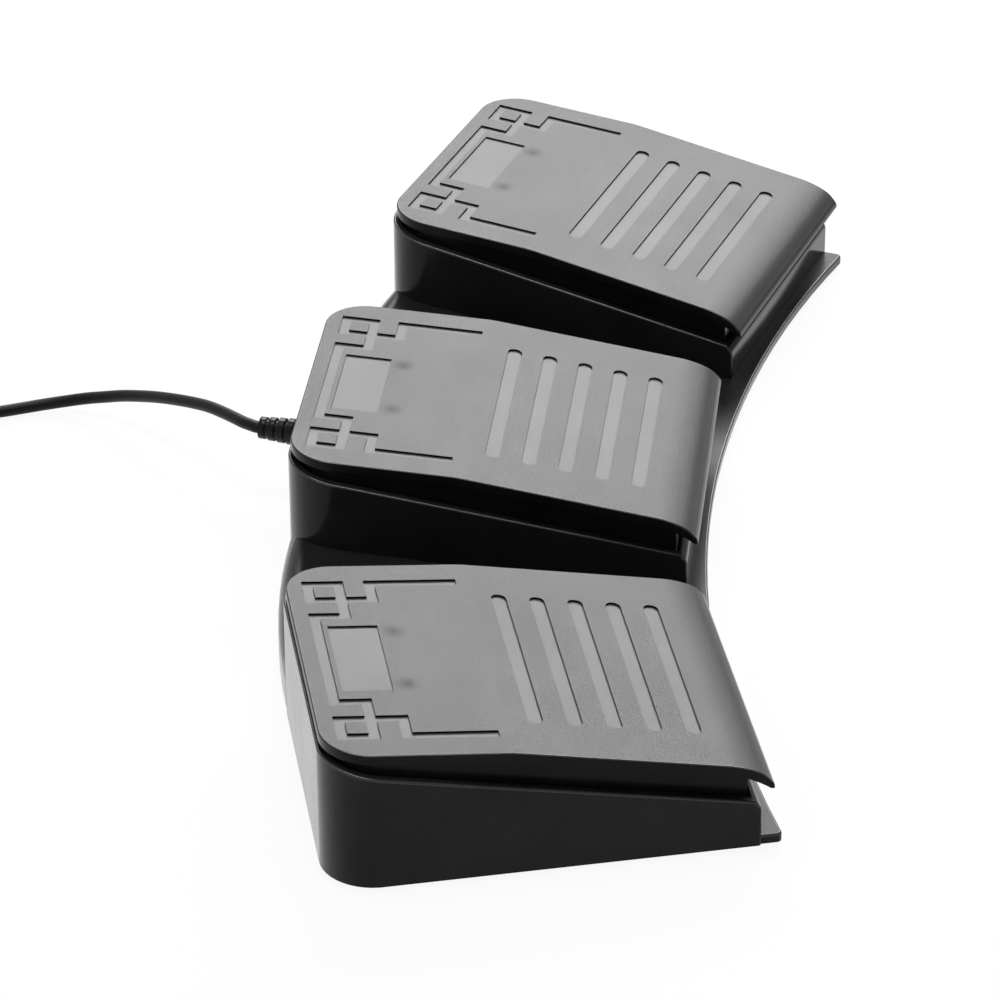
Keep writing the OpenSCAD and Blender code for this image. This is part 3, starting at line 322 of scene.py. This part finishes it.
# Patches, grain and brushing of the finishes: scale and detail of each noise, and its roughness
NOISE_ROUGH = 0.6
PATCH_SCALE = 55
PATCH_DETAIL = 4
FINE_DETAIL = 3
BRUSH_SCALE = 900
TARNISH_SCALE = 120
# Shares of patches and grain in a moulded surface's roughness, and how far it varies
PATCH_SHARE = 0.6
GRAIN_SHARE = 0.4
DULL_SPREAD = 0.04


def moulded(name, level, rough, grain, depth, gloss=1.0, colour=(1, 1, 1), patchy=0.25, sinks=None):
    """Moulded plastic or rubber: a fine eroded grain over faint patches of tone and gloss, with any dents
    drawn darker, as painted shade, and rougher.
    """
    s = Shader(name)
    patch = s.noise(PATCH_SCALE, PATCH_DETAIL, NOISE_ROUGH)
    fine = s.noise(grain, FINE_DETAIL, NOISE_ROUGH)
    dark = shade(level * (1 - patchy), colour)
    light = shade(level * (1 + patchy), colour)
    tone = s.blend(s.span(patch, 0, 1), dark, light)
    uneven = s.math("ADD", s.math("MULTIPLY", patch, PATCH_SHARE), s.math("MULTIPLY", fine, GRAIN_SHARE))
    dull = s.span(uneven, rough - DULL_SPREAD, rough + DULL_SPREAD)
    if sinks:
        dent_and_shade_spots = sink_dents_and_shade(s, sinks)
        # The dents' darker tone is painted shade; their added roughness is their own
        tone = s.blend(dent_and_shade_spots, tone, shade(level * SINK_SHADE_TONE, colour))
        dull = s.math("ADD", dull, s.math("MULTIPLY", dent_and_shade_spots, SINK_DULL))
    s.set(Base_Color=tone, Roughness=dull, Normal=s.bump(fine, depth), Specular_Tint=shade(gloss))
    return s.material


TARNISH_TONE = 0.8
BRUSH_SPREAD = 0.3


def metal(name, colour, rough, brush, depth):
    """Plated or drawn metal with fine brushing and faint patches of tarnish."""
    s = Shader(name)
    mapping = s.add("ShaderNodeMapping", Vector=s.place, Scale=brush)
    lines = s.noise(BRUSH_SCALE, FINE_DETAIL, NOISE_ROUGH, mapping.outputs["Vector"])
    patch = s.noise(TARNISH_SCALE, PATCH_DETAIL, NOISE_ROUGH)
    tone = s.blend(s.span(patch, 0, 1), shade(TARNISH_TONE, colour), shade(1, colour))
    dull = s.span(lines, rough * (1 - BRUSH_SPREAD), rough * (1 + BRUSH_SPREAD))
    s.set(Base_Color=tone, Roughness=dull, Normal=s.bump(lines, depth), Metallic=1)
    return s.material


MASK_DARK = (0.005, 0.06, 0.02, 1)
MASK_LIGHT = (0.01, 0.1, 0.035, 1)
MASK_ROUGH = (0.25, 0.4)
# Scale, detail and roughness of the noise in its gloss
MASK_NOISE = (200, 2, 0.5)
CLOTH_SCALE = 700
CLOTH_DEPTH = 0.00001


def board_material():
    """Solder mask with a weave of glass cloth under it."""
    s = Shader("board_mask")
    warp = s.add("ShaderNodeTexWave", Vector=s.place, Scale=CLOTH_SCALE, Distortion=1)
    weft = s.add("ShaderNodeTexWave", Vector=s.place, Scale=CLOTH_SCALE, Distortion=1)
    weft.bands_direction = "Y"
    cloth = s.math("MULTIPLY", warp.outputs["Fac"], weft.outputs["Fac"])
    tone = s.blend(cloth, MASK_DARK, MASK_LIGHT)
    dull = s.span(s.noise(*MASK_NOISE), *MASK_ROUGH)
    s.set(Base_Color=tone, Roughness=dull, Normal=s.bump(cloth, CLOTH_DEPTH))
    return s.material


# Moulded: name, level of grey, roughness, scale and depth of the grain
# Metal: name, colour, roughness, stretch and depth of the brushing
RED = (1, 0.05, 0.03)
MATERIALS = {
    "housing": moulded("housing_gloss", 0.012, 0.15, 420, 0.000003, gloss=0.16),
    "cover": moulded("cover_black", 0.012, 0.42, 1800, 0.00003, gloss=0.6),
    "rubber": moulded("foot_rubber", 0.018, 0.75, 1500, 0.00003, gloss=0.6),
    "switch": moulded("switch_black", 0.01, 0.35, 2200, 0.00001),
    "plunger": moulded("plunger_red", 0.45, 0.35, 2200, 0.00001, colour=RED, patchy=0.1),
    "chip": moulded("chip_black", 0.015, 0.5, 2600, 0.00001),
    "header": moulded("header_white", 0.7, 0.4, 2200, 0.00001, patchy=0.05),
    "wire": moulded("wire_red", 0.4, 0.35, 900, 0.00001, colour=RED, patchy=0.1),
    "cord": moulded("lead_pvc", 0.008, 0.45, 1600, 0.00002, gloss=0.24),
    "tie": moulded("tie_nylon", 0.012, 0.45, 1400, 0.00002),
    "overmould": moulded("plug_pvc", 0.012, 0.42, 1500, 0.00003, gloss=0.6),
    "tongue": moulded("tongue_white", 0.75, 0.35, 1500, 0.00001, patchy=0.04),
    "steel": metal("steel_screw", (0.6, 0.61, 0.63), 0.3, (1, 1, 6), 0.000004),
    "spring": metal("spring_steel", (0.5, 0.5, 0.52), 0.28, (1, 1, 6), 0.000004),
    "shell": metal("shell_nickel", (0.72, 0.71, 0.69), 0.24, (0.1, 1, 1), 0.000003),
    "contact": metal("contact_gold", (0.86, 0.62, 0.24), 0.2, (0.1, 1, 1), 0.000002),
    "board": board_material(),
}

# Softened copies of solids: lengths below which points are joined, and angles in degrees
WELD = 3e-6
FLAT_ANGLE = 0.4
RIM_ANGLE = 25
SMALL_ANGLE = 30
CORNER_ANGLE = 40
SHARP_ANGLE = 40
# Share of an edge's length that is height, from which it counts as upright
UPRIGHT_SHARE = 0.8
NORMAL_WEIGHT = 80


def station_place(point, station):
    """A point of the frame as (distance to the right, distance from the pedal's rear edge, height)."""
    a = station * FAN_ANGLE
    x, y = point.x, point.y - FAN_CENTRE_Y
    return (
        x * math.cos(a) - y * math.sin(a),
        FAN_R - (x * math.sin(a) + y * math.cos(a)),
        point.z - FOOT_PROUD,
    )


def solid_copy(node, weld=WELD):
    """A node's mesh with its triangles joined into flat faces, and points closer than the weld joined."""
    bm = bmesh.new()
    bm.from_mesh(nodes[node].data)
    bmesh.ops.remove_doubles(bm, verts=bm.verts, dist=weld)
    bmesh.ops.dissolve_limit(bm, angle_limit=math.radians(FLAT_ANGLE), verts=bm.verts, edges=bm.edges)
    bm.normal_update()
    return bm


def convex_edges(bm, least=RIM_ANGLE):
    """Outward edges at which the surface turns by more than an angle."""
    limit = math.radians(least)
    return [
        e for e in bm.edges
        if len(e.link_faces) == 2 and e.is_convex and e.calc_face_angle(0) > limit
    ]


def soften(bm, edges, width, segments):
    """Rounds edges over a width, and gives the faces that this makes."""
    made = bmesh.ops.bevel(
        bm, geom=edges, offset=width, offset_type="OFFSET", segments=segments, profile=0.5,
        affect="EDGES", clamp_overlap=True, loop_slide=True,
    )
    bm.normal_update()
    return made["faces"]


def middle(edge):
    return (edge.verts[0].co + edge.verts[1].co) / 2


def upright(edge):
    way = edge.verts[0].co - edge.verts[1].co
    return abs(way.z) > UPRIGHT_SHARE * way.length


def add_piece(bm, name, body, materials, node):
    """A piece with smooth shading that rides on a body and replaces a node."""
    mesh = bpy.data.meshes.new(name)
    bm.to_mesh(mesh)
    bm.free()
    for material in materials:
        mesh.materials.append(material)
    mesh.shade_smooth()
    piece = bpy.data.objects.new(name, mesh)
    scene.collection.objects.link(piece)
    even = piece.modifiers.new("even_normals", "WEIGHTED_NORMAL")
    even.weight = NORMAL_WEIGHT
    even.keep_sharp = True
    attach(piece, body)
    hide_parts(node)
    return piece


def sharpen(bm, least=SHARP_ANGLE):
    """Marks the edges that turn by more than an angle, so that shading breaks there."""
    limit = math.radians(least)
    for edge in bm.edges:
        edge.smooth = len(edge.link_faces) == 2 and edge.calc_face_angle(0) < limit


def plan_depth(v, u, half_w, length, corner_r):
    """Depth of a place inside a plate whose rear corners are rounded, in metres."""
    depth = min(half_w - abs(v), u, length - u)
    cv, cu = abs(v) - (half_w - corner_r), corner_r - u
    if cv > 0 and cu > 0:
        depth = min(depth, corner_r - math.hypot(cv, cu))
    return depth


# Pedals: widths and segments of the softened edges
RECESS_EDGE = 0.00012
RECESS_SEGMENTS = 2
PEDAL_EDGE = 0.00045
PEDAL_SEGMENTS = 3
# Line of the plate's top: distances from the rear edge and heights
TOP_LINE = ((0, 0.0336), (0.038, 0.03074), (0.0419, 0.03026), (0.086, 0.02256))
LABEL_W = 0.027
LABEL_L = 0.011
LABEL_REAR = 0.0073
LABEL_DEPTH = 0.0004
LABEL_SLACK = 0.0005
RECESS_DEPTH = 0.0006
RECESS_RISE = 0.00012
RECESS_SLACK = 0.0001
RECESS_LIMIT = 0.002
SINK_V = 0.011
SINK_U = 0.0215
NOSE_ROUND = 0.0034
NOSE_DROP = 0.0013
NOSE_LIFT = 0.0006
NOSE_REACH = 0.004
NOSE_FRONT = 0.0001
NOSE_WELD = 0.0002
# The rim's edges lie nearer to the outline than the first, and the recesses deeper in than the second
RIM_REACH = 0.0015
INNER_REACH = 0.0025
# Upward part of a face's normal: limits for side faces, the nose's top, the plate's top and undersides
SIDE_RISE = 0.45
NOSE_RISE = 0.5
TOP_RISE = 0.6
UNDER_RISE = -0.3
TOP, SUNK, LABEL, SIDE, RIM = range(5)


def frame_place(v, u, z, station):
    """A point of the frame, from its place beside and before the rear edge of a pedal."""
    a, r = station * FAN_ANGLE, FAN_R - u
    return Vector((
        v * math.cos(a) + r * math.sin(a),
        FAN_CENTRE_Y + r * math.cos(a) - v * math.sin(a),
        z,
    ))


def top_height(u):
    """Height of the plate's top, and 0 on its nose, which has no recess."""
    for (u0, z0), (u1, z1) in zip(TOP_LINE, TOP_LINE[1:]):
        if u <= u1:
            return z0 + (z1 - z0) * (u - u0) / (u1 - u0)
    return 0


def pedal_depth(point, station):
    """Depth of a point inside a pedal's outline."""
    v, u, _ = station_place(point, station)
    return plan_depth(v, u, PEDAL_W / 2, PEDAL_L, PEDAL_CORNER_R)


def pedal_face(face, station):
    """Which of the pedal's finishes, some with painted light or shade, a face has."""
    if face.normal.z < SIDE_RISE:
        return SIDE
    if pedal_depth(face.calc_center_median(), station) < PEDAL_EDGE:
        return RIM
    places = [station_place(vert.co, station) for vert in face.verts]
    depth = sum(top_height(u) - h - FOOT_PROUD for _, u, h in places) / len(places)
    if depth < LABEL_DEPTH / 2:
        return TOP
    on_label = all(
        abs(v) < LABEL_W / 2 + LABEL_SLACK
        and abs(u - LABEL_REAR - LABEL_L / 2) < LABEL_L / 2 + LABEL_SLACK
        for v, u, _ in places
    )
    if on_label:
        return LABEL
    return SUNK if depth < RECESS_LIMIT else SIDE


SINKS = [
    frame_place(v, SINK_U, top_height(SINK_U), station)
    for station in SIDES.values()
    for v in (-SINK_V, SINK_V)
]
# In the order of the finishes' numbers, with the recesses and label painted lighter and the sides painted
# darker
PEDAL_FINISHES_AND_PAINTED_LIGHT = [
    moulded("pedal_satin", 0.026, 0.41, 2600, 0.00008, patchy=0.12, sinks=SINKS),
    # Recess and label floors: a lighter grey than the top, which is painted light
    moulded("pedal_sunk_painted_light", 0.045, 0.385, 2600, 0.00003, patchy=0.1),
    moulded("pedal_label_painted_light", 0.045, 0.4, 1200, 0.00001, patchy=0.08),
    # Sides: a darker grey and a weaker reflection than the top, which is painted shade
    moulded("pedal_side_painted_shade", 0.007, 0.22, 1200, 0.000006, gloss=0.1),
    moulded("pedal_rim", 0.02, 0.2, 1200, 0.000006),
]


def thin_nose(bm, station):
    """Rounds the plate's nose over its last few millimetres, down to a thin front edge."""
    low = []
    for vert in bm.verts:
        _, u, _ = station_place(vert.co, station)
        if u < PEDAL_L - NOSE_ROUND:
            continue
        if max(f.normal.z for f in vert.link_faces) > NOSE_RISE:
            vert.co.z -= NOSE_DROP * (1 - (PEDAL_L - u) / NOSE_ROUND) ** 2
        elif u > PEDAL_L - NOSE_FRONT:
            vert.co.z += NOSE_LIFT
            low.append(vert)
    bmesh.ops.remove_doubles(bm, verts=low, dist=NOSE_WELD)
    bm.normal_update()


def raise_floors(bm, station):
    """Brings the floors of the fret and grooves nearer to the plate's top."""
    for vert in bm.verts:
        _, u, _ = station_place(vert.co, station)
        inside = pedal_depth(vert.co, station) > INNER_REACH
        if inside and abs(top_height(u) - vert.co.z - RECESS_DEPTH) < RECESS_SLACK:
            vert.co.z += RECESS_RISE


def pedal_piece(side, station):
    """A pedal's plate with a thin nose, a softened rim, and finishes for its top, recesses and sides: the
    recess and label floors lighter as painted light, the sides darker as painted shade.
    """
    node = f"pedal_{side}"
    bm = solid_copy(node)
    thin_nose(bm, station)
    raise_floors(bm, station)

    def depth(edge):
        return pedal_depth(middle(edge), station)

    def on_top(edge):
        low, high = sorted(f.normal.z for f in edge.link_faces)
        return high > TOP_RISE and low < TOP_RISE

    def on_nose(edge):
        _, u, _ = station_place(middle(edge), station)
        return u > PEDAL_L - NOSE_REACH and min(f.normal.z for f in edge.link_faces) > UNDER_RISE

    rim = [e for e in convex_edges(bm) if depth(e) < RIM_REACH and (on_top(e) or on_nose(e))]
    soften(bm, rim, PEDAL_EDGE, PEDAL_SEGMENTS)
    recess_edges = [e for e in convex_edges(bm) if on_top(e) and depth(e) > INNER_REACH]
    soften(bm, recess_edges, RECESS_EDGE, RECESS_SEGMENTS)
    sharpen(bm)
    for face in bm.faces:
        face.material_index = pedal_face(face, station)
    add_piece(bm, f"{node}_plate", node, PEDAL_FINISHES_AND_PAINTED_LIGHT, node)


# Housing: the lead's hole, whose edges stay, and widths and segments of the softened edges
CORD_HOLE = Vector((0, 0.0613, 0.018))
CORD_HOLE_REACH = 0.004
HOUSING_WELD = 4e-5
OUTER_REACH = WALL * 0.6
FRONT_REACH = 0.001
LIP_END_EDGE = (0.0014, 5)
CORNER_EDGE = (0.0012, 4)
WALL_EDGE = (0.0005, 3)
DECK_RISE = 0.9
WALL_FINISH, DECK_FINISH_AND_SHADE, EDGE_PAINTED_HIGHLIGHT = range(3)
HOUSING_FINISHES_AND_PAINTED_LIGHT = [
    MATERIALS["housing"],
    # Decks: rougher than the walls, with a weaker reflection, which is painted shade
    moulded("housing_satin_painted_shade", 0.012, 0.33, 900, 0.00001, gloss=0.08),
    # Rims: a lighter grey and full reflection, which is painted highlight
    moulded("housing_rim_painted_highlight", 0.02, 0.22, 1200, 0.000006),
]


def housing_piece():
    """The housing with softened outer edges, and finishes for its walls, decks and rims, where the decks'
    weaker reflection is painted shade and the rims' lighter, glossier finish is painted highlight.
    """
    bm = solid_copy("base_housing", HOUSING_WELD)

    def box_depth(point):
        """Greatest depth inside the outline of any of the three boxes."""
        best = -1
        for station in SIDES.values():
            v, u, _ = station_place(point, station)
            half_w = BOX_REAR_W / 2 - max(u - BOX_CORNER_R, 0) * math.tan(BOX_TAPER)
            length = BOX_FRONT + BOX_REAR_GAP
            best = max(best, plan_depth(v, u + BOX_REAR_GAP, half_w, length, BOX_CORNER_R))
        return best

    def outer(edge):
        below = min(f.normal.z for f in edge.link_faces) < UNDER_RISE
        if below or (middle(edge) - CORD_HOLE).length < CORD_HOLE_REACH:
            return False
        return box_depth(middle(edge)) < OUTER_REACH

    def at_front(edge):
        places = [station_place(middle(edge), station) for station in SIDES.values()]
        return any(abs(u - BOX_FRONT) < FRONT_REACH for _, u, _ in places)

    def outer_corners():
        return [e for e in convex_edges(bm, CORNER_ANGLE) if upright(e) and outer(e)]

    soften(bm, [e for e in outer_corners() if middle(e).z < LIP_TOP], *LIP_END_EDGE)
    soften(bm, [e for e in outer_corners() if at_front(e) and middle(e).z > LIP_TOP], *CORNER_EDGE)
    rims = soften(bm, [e for e in convex_edges(bm) if outer(e) and not upright(e)], *WALL_EDGE)
    sharpen(bm)
    for face in bm.faces:
        # Faces that face up take the deck's finish, with its painted shade
        face.material_index = DECK_FINISH_AND_SHADE if face.normal.z > DECK_RISE else WALL_FINISH
    # The rounded rims take a painted highlight: a lighter and glossier finish
    for face in rims:
        face.material_index = EDGE_PAINTED_HIGHLIGHT
    add_piece(bm, "base_shell", "base", HOUSING_FINISHES_AND_PAINTED_LIGHT, "base_housing")


for side, station in SIDES.items():
    pedal_piece(side, station)
housing_piece()

SMALL_SEGMENTS = 2


def dressed_copy(node, slot, width):
    """A copy of a node on the base, with its outer edges softened."""
    bm = solid_copy(node)
    soften(bm, convex_edges(bm, SMALL_ANGLE), width, SMALL_SEGMENTS)
    sharpen(bm)
    return add_piece(bm, f"{node}_dressed", "base", [MATERIALS[slot]], node)


SOFT_EDGES = (
    ("bottom_cover", "cover", 0.0003),
    ("rubber_feet", "rubber", 0.0003),
    ("cable_strain_relief", "cord", 0.0003),
    ("plug_overmould", "overmould", 0.0004),
    ("plug_shell", "shell", 0.0001),
    ("bump_stops", "rubber", 0.0004),
    ("cover_screws", "steel", 0.0001),
    ("board_screws", "steel", 0.0001),
    ("controller_chip", "chip", 0.0001),
    ("main_board", "board", 0.0001),
)
dressed = {node: dressed_copy(node, slot, width) for node, slot, width in SOFT_EDGES}
relief_finish = moulded("relief_pvc", 0.006, 0.24, 1600, 0.00003, gloss=0.3)
dressed["cable_strain_relief"].data.materials[0] = relief_finish

# Twist tie: a ribbon with a wire along its middle, snug round the turns on the coil's left
# Its profile is in millimetres, across and out
TIE_NEAR = 0.00945
TIE_FAR = 0.02495
TIE_LOW = 0.0012
TIE_HIGH = 0.0153
TIE_CORNER = 0.002
TIE_STEPS = 6
TIE_SHARP_ANGLE = 35
TIE_PROFILE = (
    (-3, 0), (-3, 0.35), (-0.8, 0.4), (-0.4, 0.75), (0.4, 0.75), (0.8, 0.4), (3, 0.35), (3, 0),
)


def tie_piece():
    """The tie's profile, carried round a loop with rounded corners."""
    hub_x = COIL_X - COIL_OUTER_R
    hub_y = WAY_Y + COIL_Y
    near, far = TIE_NEAR + TIE_CORNER, TIE_FAR - TIE_CORNER
    low, high = TIE_LOW + TIE_CORNER, TIE_HIGH - TIE_CORNER
    bm = bmesh.new()
    rings = []
    for i, (away, height) in enumerate(((far, high), (near, high), (near, low), (far, low))):
        for step in range(TIE_STEPS + 1):
            a = math.radians(90 * (i + step / TIE_STEPS))
            rings.append([
                bm.verts.new((
                    hub_x - away - (TIE_CORNER + out * MM) * math.cos(a),
                    hub_y + across * MM,
                    height + (TIE_CORNER + out * MM) * math.sin(a),
                ))
                for across, out in TIE_PROFILE
            ])
    for i, ring in enumerate(rings):
        for k in range(len(ring)):
            bm.faces.new((rings[i - 1][k - 1], rings[i - 1][k], ring[k], ring[k - 1]))
    bmesh.ops.recalc_face_normals(bm, faces=bm.faces)
    sharpen(bm, TIE_SHARP_ANGLE)
    return add_piece(bm, "cable_twist_tie", "base", [MATERIALS["tie"]], "cable_tie")


tie = tie_piece()

# Wires inside the housing: their routes repeat those of the solids, in millimetres
WIRE_D = 0.0014
WIRES = {
    "lead_left": (
        (-92.5, 21.5, 9.6), (-90.6, 22, 9.6), (-88.2, 23.7, 8.3), (-86.1, 27, 5.7), (-84.1, 30.6, 3.8),
        (-81.8, 32.9, 3.6), (-79.3, 34.5, 3.6), (-76.8, 35.7, 3.6), (-71.5, 36.8, 3.6), (-66.1, 37.6, 3.6),
        (-60.8, 38.3, 3.6), (-55.4, 39, 3.6), (-50, 39.6, 3.6), (-44.7, 40, 3.6), (-39.3, 40.6, 3.6),
        (-37.3, 40.6, 3.6), (-35.5, 40.5, 3.9), (-33.7, 40.2, 4.5), (-32.1, 39.6, 5.5), (-30.7, 38.9, 6.6),
        (-29.6, 38, 7.7), (-28.7, 37.1, 8.7), (-28.2, 36, 9.3), (-28, 34.8, 9.6), (-28, 32.8, 9.6),
    ),
    "lead_middle": (
        (10, 26.8, 9.6), (10, 24.8, 9.6), (9.7, 21.8, 9.6), (8.6, 18.8, 9.6), (7, 16.1, 9.6),
        (4.7, 13.7, 9.6), (2, 11.7, 9.6), (-1.1, 10.3, 9.6), (-4.5, 9.4, 9.6), (-8, 9.1, 9.6),
        (-10, 9.1, 9.6),
    ),
    "lead_right": (
        (123.4, 13.2, 9.6), (121.5, 13.8, 9.6), (115.1, 15.1, 8.3), (108.6, 16.4, 5.7), (102.2, 17.6, 3.8),
        (95.7, 18.6, 3.6), (89.8, 22.1, 3.6), (84.2, 28.4, 3.6), (78.5, 34.3, 3.6), (72.1, 36.7, 3.6),
        (65.4, 37.7, 3.6), (58.8, 38.6, 3.6), (52.1, 39.4, 3.6), (45.3, 38.8, 3.6), (38.1, 33.9, 3.6),
        (31.1, 27.8, 3.6), (24.4, 24.4, 3.6), (17.9, 24.4, 3.6), (11.4, 24.3, 3.8), (4.9, 24, 5.7),
        (-1.5, 23.7, 8.3), (-8, 23.3, 9.6), (-10, 23.3, 9.6),
    ),
}
INNER_LEAD = (
    (0, 57.8, 18), (0, 54.8, 18), (-0.9, 52.3, 17.6), (-3.4, 49.7, 16.7), (-7, 47.2, 15.3),
    (-11, 44.6, 13.8), (-15, 42, 12.3), (-18.6, 39.5, 10.9), (-21.1, 36.9, 10), (-22, 34.3, 9.6),
    (-22, 32.8, 9.6),
)


def metres(points):
    """Points in metres, from millimetres."""
    return [Vector(p) * MM for p in points]


for node, route in WIRES.items():
    wire = round_wire(f"{node}_wire", metres(route), WIRE_D, "wire", node)
    wire.data.materials.append(MATERIALS["wire"])
inner = round_wire("cable_inner_lead", metres(INNER_LEAD), CORD_D, "cord", "cable_inner")
inner.data.materials.append(MATERIALS["cord"])

# Return springs: closed turns at each end
SPRING_WIRE = 0.001
SPRING_TURNS = 7
SPRING_STEPS = 20
SPRING_SIDES = 8
SPRING_CLOSED = 1
SPRING_SHARP_ANGLE = 60


def spring_piece(side):
    """A return spring with closed ends, which rides on the base."""
    node = f"return_spring_{side}"
    low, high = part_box(node)
    centre = (low + high) / 2
    radius = min(high.x - low.x, high.y - low.y) / 2 - SPRING_WIRE / 2
    closed = SPRING_CLOSED * SPRING_WIRE
    free = high.z - low.z - SPRING_WIRE - 2 * closed

    def height(turn):
        if turn < SPRING_CLOSED:
            return closed * turn / SPRING_CLOSED
        if turn > SPRING_TURNS - SPRING_CLOSED:
            return closed + free + closed * (turn - SPRING_TURNS + SPRING_CLOSED) / SPRING_CLOSED
        return closed + free * (turn - SPRING_CLOSED) / (SPRING_TURNS - 2 * SPRING_CLOSED)

    bm = bmesh.new()
    rings = []
    for i in range(SPRING_TURNS * SPRING_STEPS + 1):
        turn = i / SPRING_STEPS
        a = 2 * math.pi * turn
        out = Vector((math.cos(a), math.sin(a), 0))
        at = Vector((centre.x, centre.y, low.z + SPRING_WIRE / 2 + height(turn))) + out * radius
        rings.append([
            bm.verts.new(at + (out * math.cos(b) + Vector((0, 0, math.sin(b)))) * SPRING_WIRE / 2)
            for b in (2 * math.pi * k / SPRING_SIDES for k in range(SPRING_SIDES))
        ])
    for one, two in zip(rings, rings[1:]):
        for k in range(SPRING_SIDES):
            bm.faces.new((one[k - 1], one[k], two[k], two[k - 1]))
    bm.faces.new(rings[0])
    bm.faces.new(rings[-1])
    bmesh.ops.recalc_face_normals(bm, faces=bm.faces)
    sharpen(bm, SPRING_SHARP_ANGLE)
    piece = add_piece(bm, f"{node}_coil", "base", [MATERIALS["spring"]], node)
    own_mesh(piece)


for side, station in SIDES.items():
    spring_piece(side)

# A node that stays as it is gets the material of its slot
for row in frame["record"]["subparts"]:
    solid = nodes[row["node"]]
    if not solid.hide_render:
        solid.data.materials.clear()
        solid.data.materials.append(MATERIALS[row["material_slot"]])
usb_lead.data.materials.append(MATERIALS["cord"])

# Floor, world and light
WHITE = (1, 1, 1, 1)
FLOOR_GREY = (0.8, 0.8, 0.8, 1)
FLOOR_SIDE = 40
FLOOR_Z = -0.0002
# Share of plain white in the floor that the camera and glossy surfaces see
FLOOR_GLOW = 0.92
WORLD_FRONT = 0.25
WORLD_BACK = 0.75
# Name, place, aim, size, watts, and spread in degrees
LAMPS = (
    ("far_box", (1.05, -0.06, 0.77), (0.3, 0, 0), (1.0, 0.7), 3.3, 72),
    ("top_box", (-0.1, 0.05, 1.3), (0, 0, 0), (0.7, 0.3), 7.9, 180),
)


def seen_share(tree):
    """1 for rays from the camera, from a glossy surface or through a clear one, and 0 for the rest."""
    path = tree.nodes.new("ShaderNodeLightPath")
    share = path.outputs["Is Camera Ray"]
    for key in ("Is Glossy Ray", "Is Transmission Ray"):
        either = tree.nodes.new("ShaderNodeMath")
        either.operation = "MAXIMUM"
        tree.links.new(share, either.inputs[0])
        tree.links.new(path.outputs[key], either.inputs[1])
        share = either.outputs[0]
    return share


def make_floor():
    """A wide white floor that keeps a faint shadow of the object."""
    mesh = bpy.data.meshes.new("floor")
    half = FLOOR_SIDE / 2
    corners = [(-half, -half, 0), (half, -half, 0), (half, half, 0), (-half, half, 0)]
    mesh.from_pydata(corners, [], [(0, 1, 2, 3)])
    floor = bpy.data.objects.new("floor", mesh)
    floor.location.z = FLOOR_Z
    scene.collection.objects.link(floor)
    material = bpy.data.materials.new("floor_white")
    material.use_nodes = True
    tree = material.node_tree
    tree.nodes.clear()
    out = tree.nodes.new("ShaderNodeOutputMaterial")
    matt = tree.nodes.new("ShaderNodeBsdfDiffuse")
    matt.inputs["Color"].default_value = FLOOR_GREY
    glow = tree.nodes.new("ShaderNodeEmission")
    glow.inputs["Color"].default_value = WHITE
    seen = tree.nodes.new("ShaderNodeMixShader")
    seen.inputs["Fac"].default_value = FLOOR_GLOW
    tree.links.new(matt.outputs[0], seen.inputs[1])
    tree.links.new(glow.outputs[0], seen.inputs[2])
    pick = tree.nodes.new("ShaderNodeMixShader")
    tree.links.new(seen_share(tree), pick.inputs["Fac"])
    tree.links.new(matt.outputs[0], pick.inputs[1])
    tree.links.new(seen.outputs[0], pick.inputs[2])
    tree.links.new(pick.outputs[0], out.inputs["Surface"])
    mesh.materials.append(material)


def make_world():
    """A white surround, brighter on the part's rear side than on its front side."""
    world = bpy.data.worlds.new("studio")
    scene.world = world
    world.use_nodes = True
    tree = world.node_tree
    plain = tree.nodes["Background"]
    plain.inputs["Color"].default_value = WHITE
    way = tree.nodes.new("ShaderNodeTexCoord")
    part = tree.nodes.new("ShaderNodeSeparateXYZ")
    level = tree.nodes.new("ShaderNodeMapRange")
    level.inputs["From Min"].default_value = -1
    level.inputs["From Max"].default_value = 1
    level.inputs["To Min"].default_value = WORLD_FRONT
    level.inputs["To Max"].default_value = WORLD_BACK
    tree.links.new(way.outputs["Generated"], part.inputs["Vector"])
    tree.links.new(part.outputs["Y"], level.inputs["Value"])
    tree.links.new(level.outputs["Result"], plain.inputs["Strength"])


def soft_box(name, at, aim, size, watts, spread):
    """A rectangular lamp that shines from one point towards another."""
    data = bpy.data.lights.new(name, "AREA")
    data.shape = "RECTANGLE"
    data.size, data.size_y = size
    data.energy = watts
    data.spread = math.radians(spread)
    lamp = bpy.data.objects.new(name, data)
    lamp.location = at
    lamp.rotation_euler = (Vector(aim) - Vector(at)).to_track_quat("-Z", "Y").to_euler()
    scene.collection.objects.link(lamp)


make_floor()
make_world()
for box in LAMPS:
    soft_box(*box)
scene.view_settings.view_transform = "Standard"

bpy.context.view_layer.update()
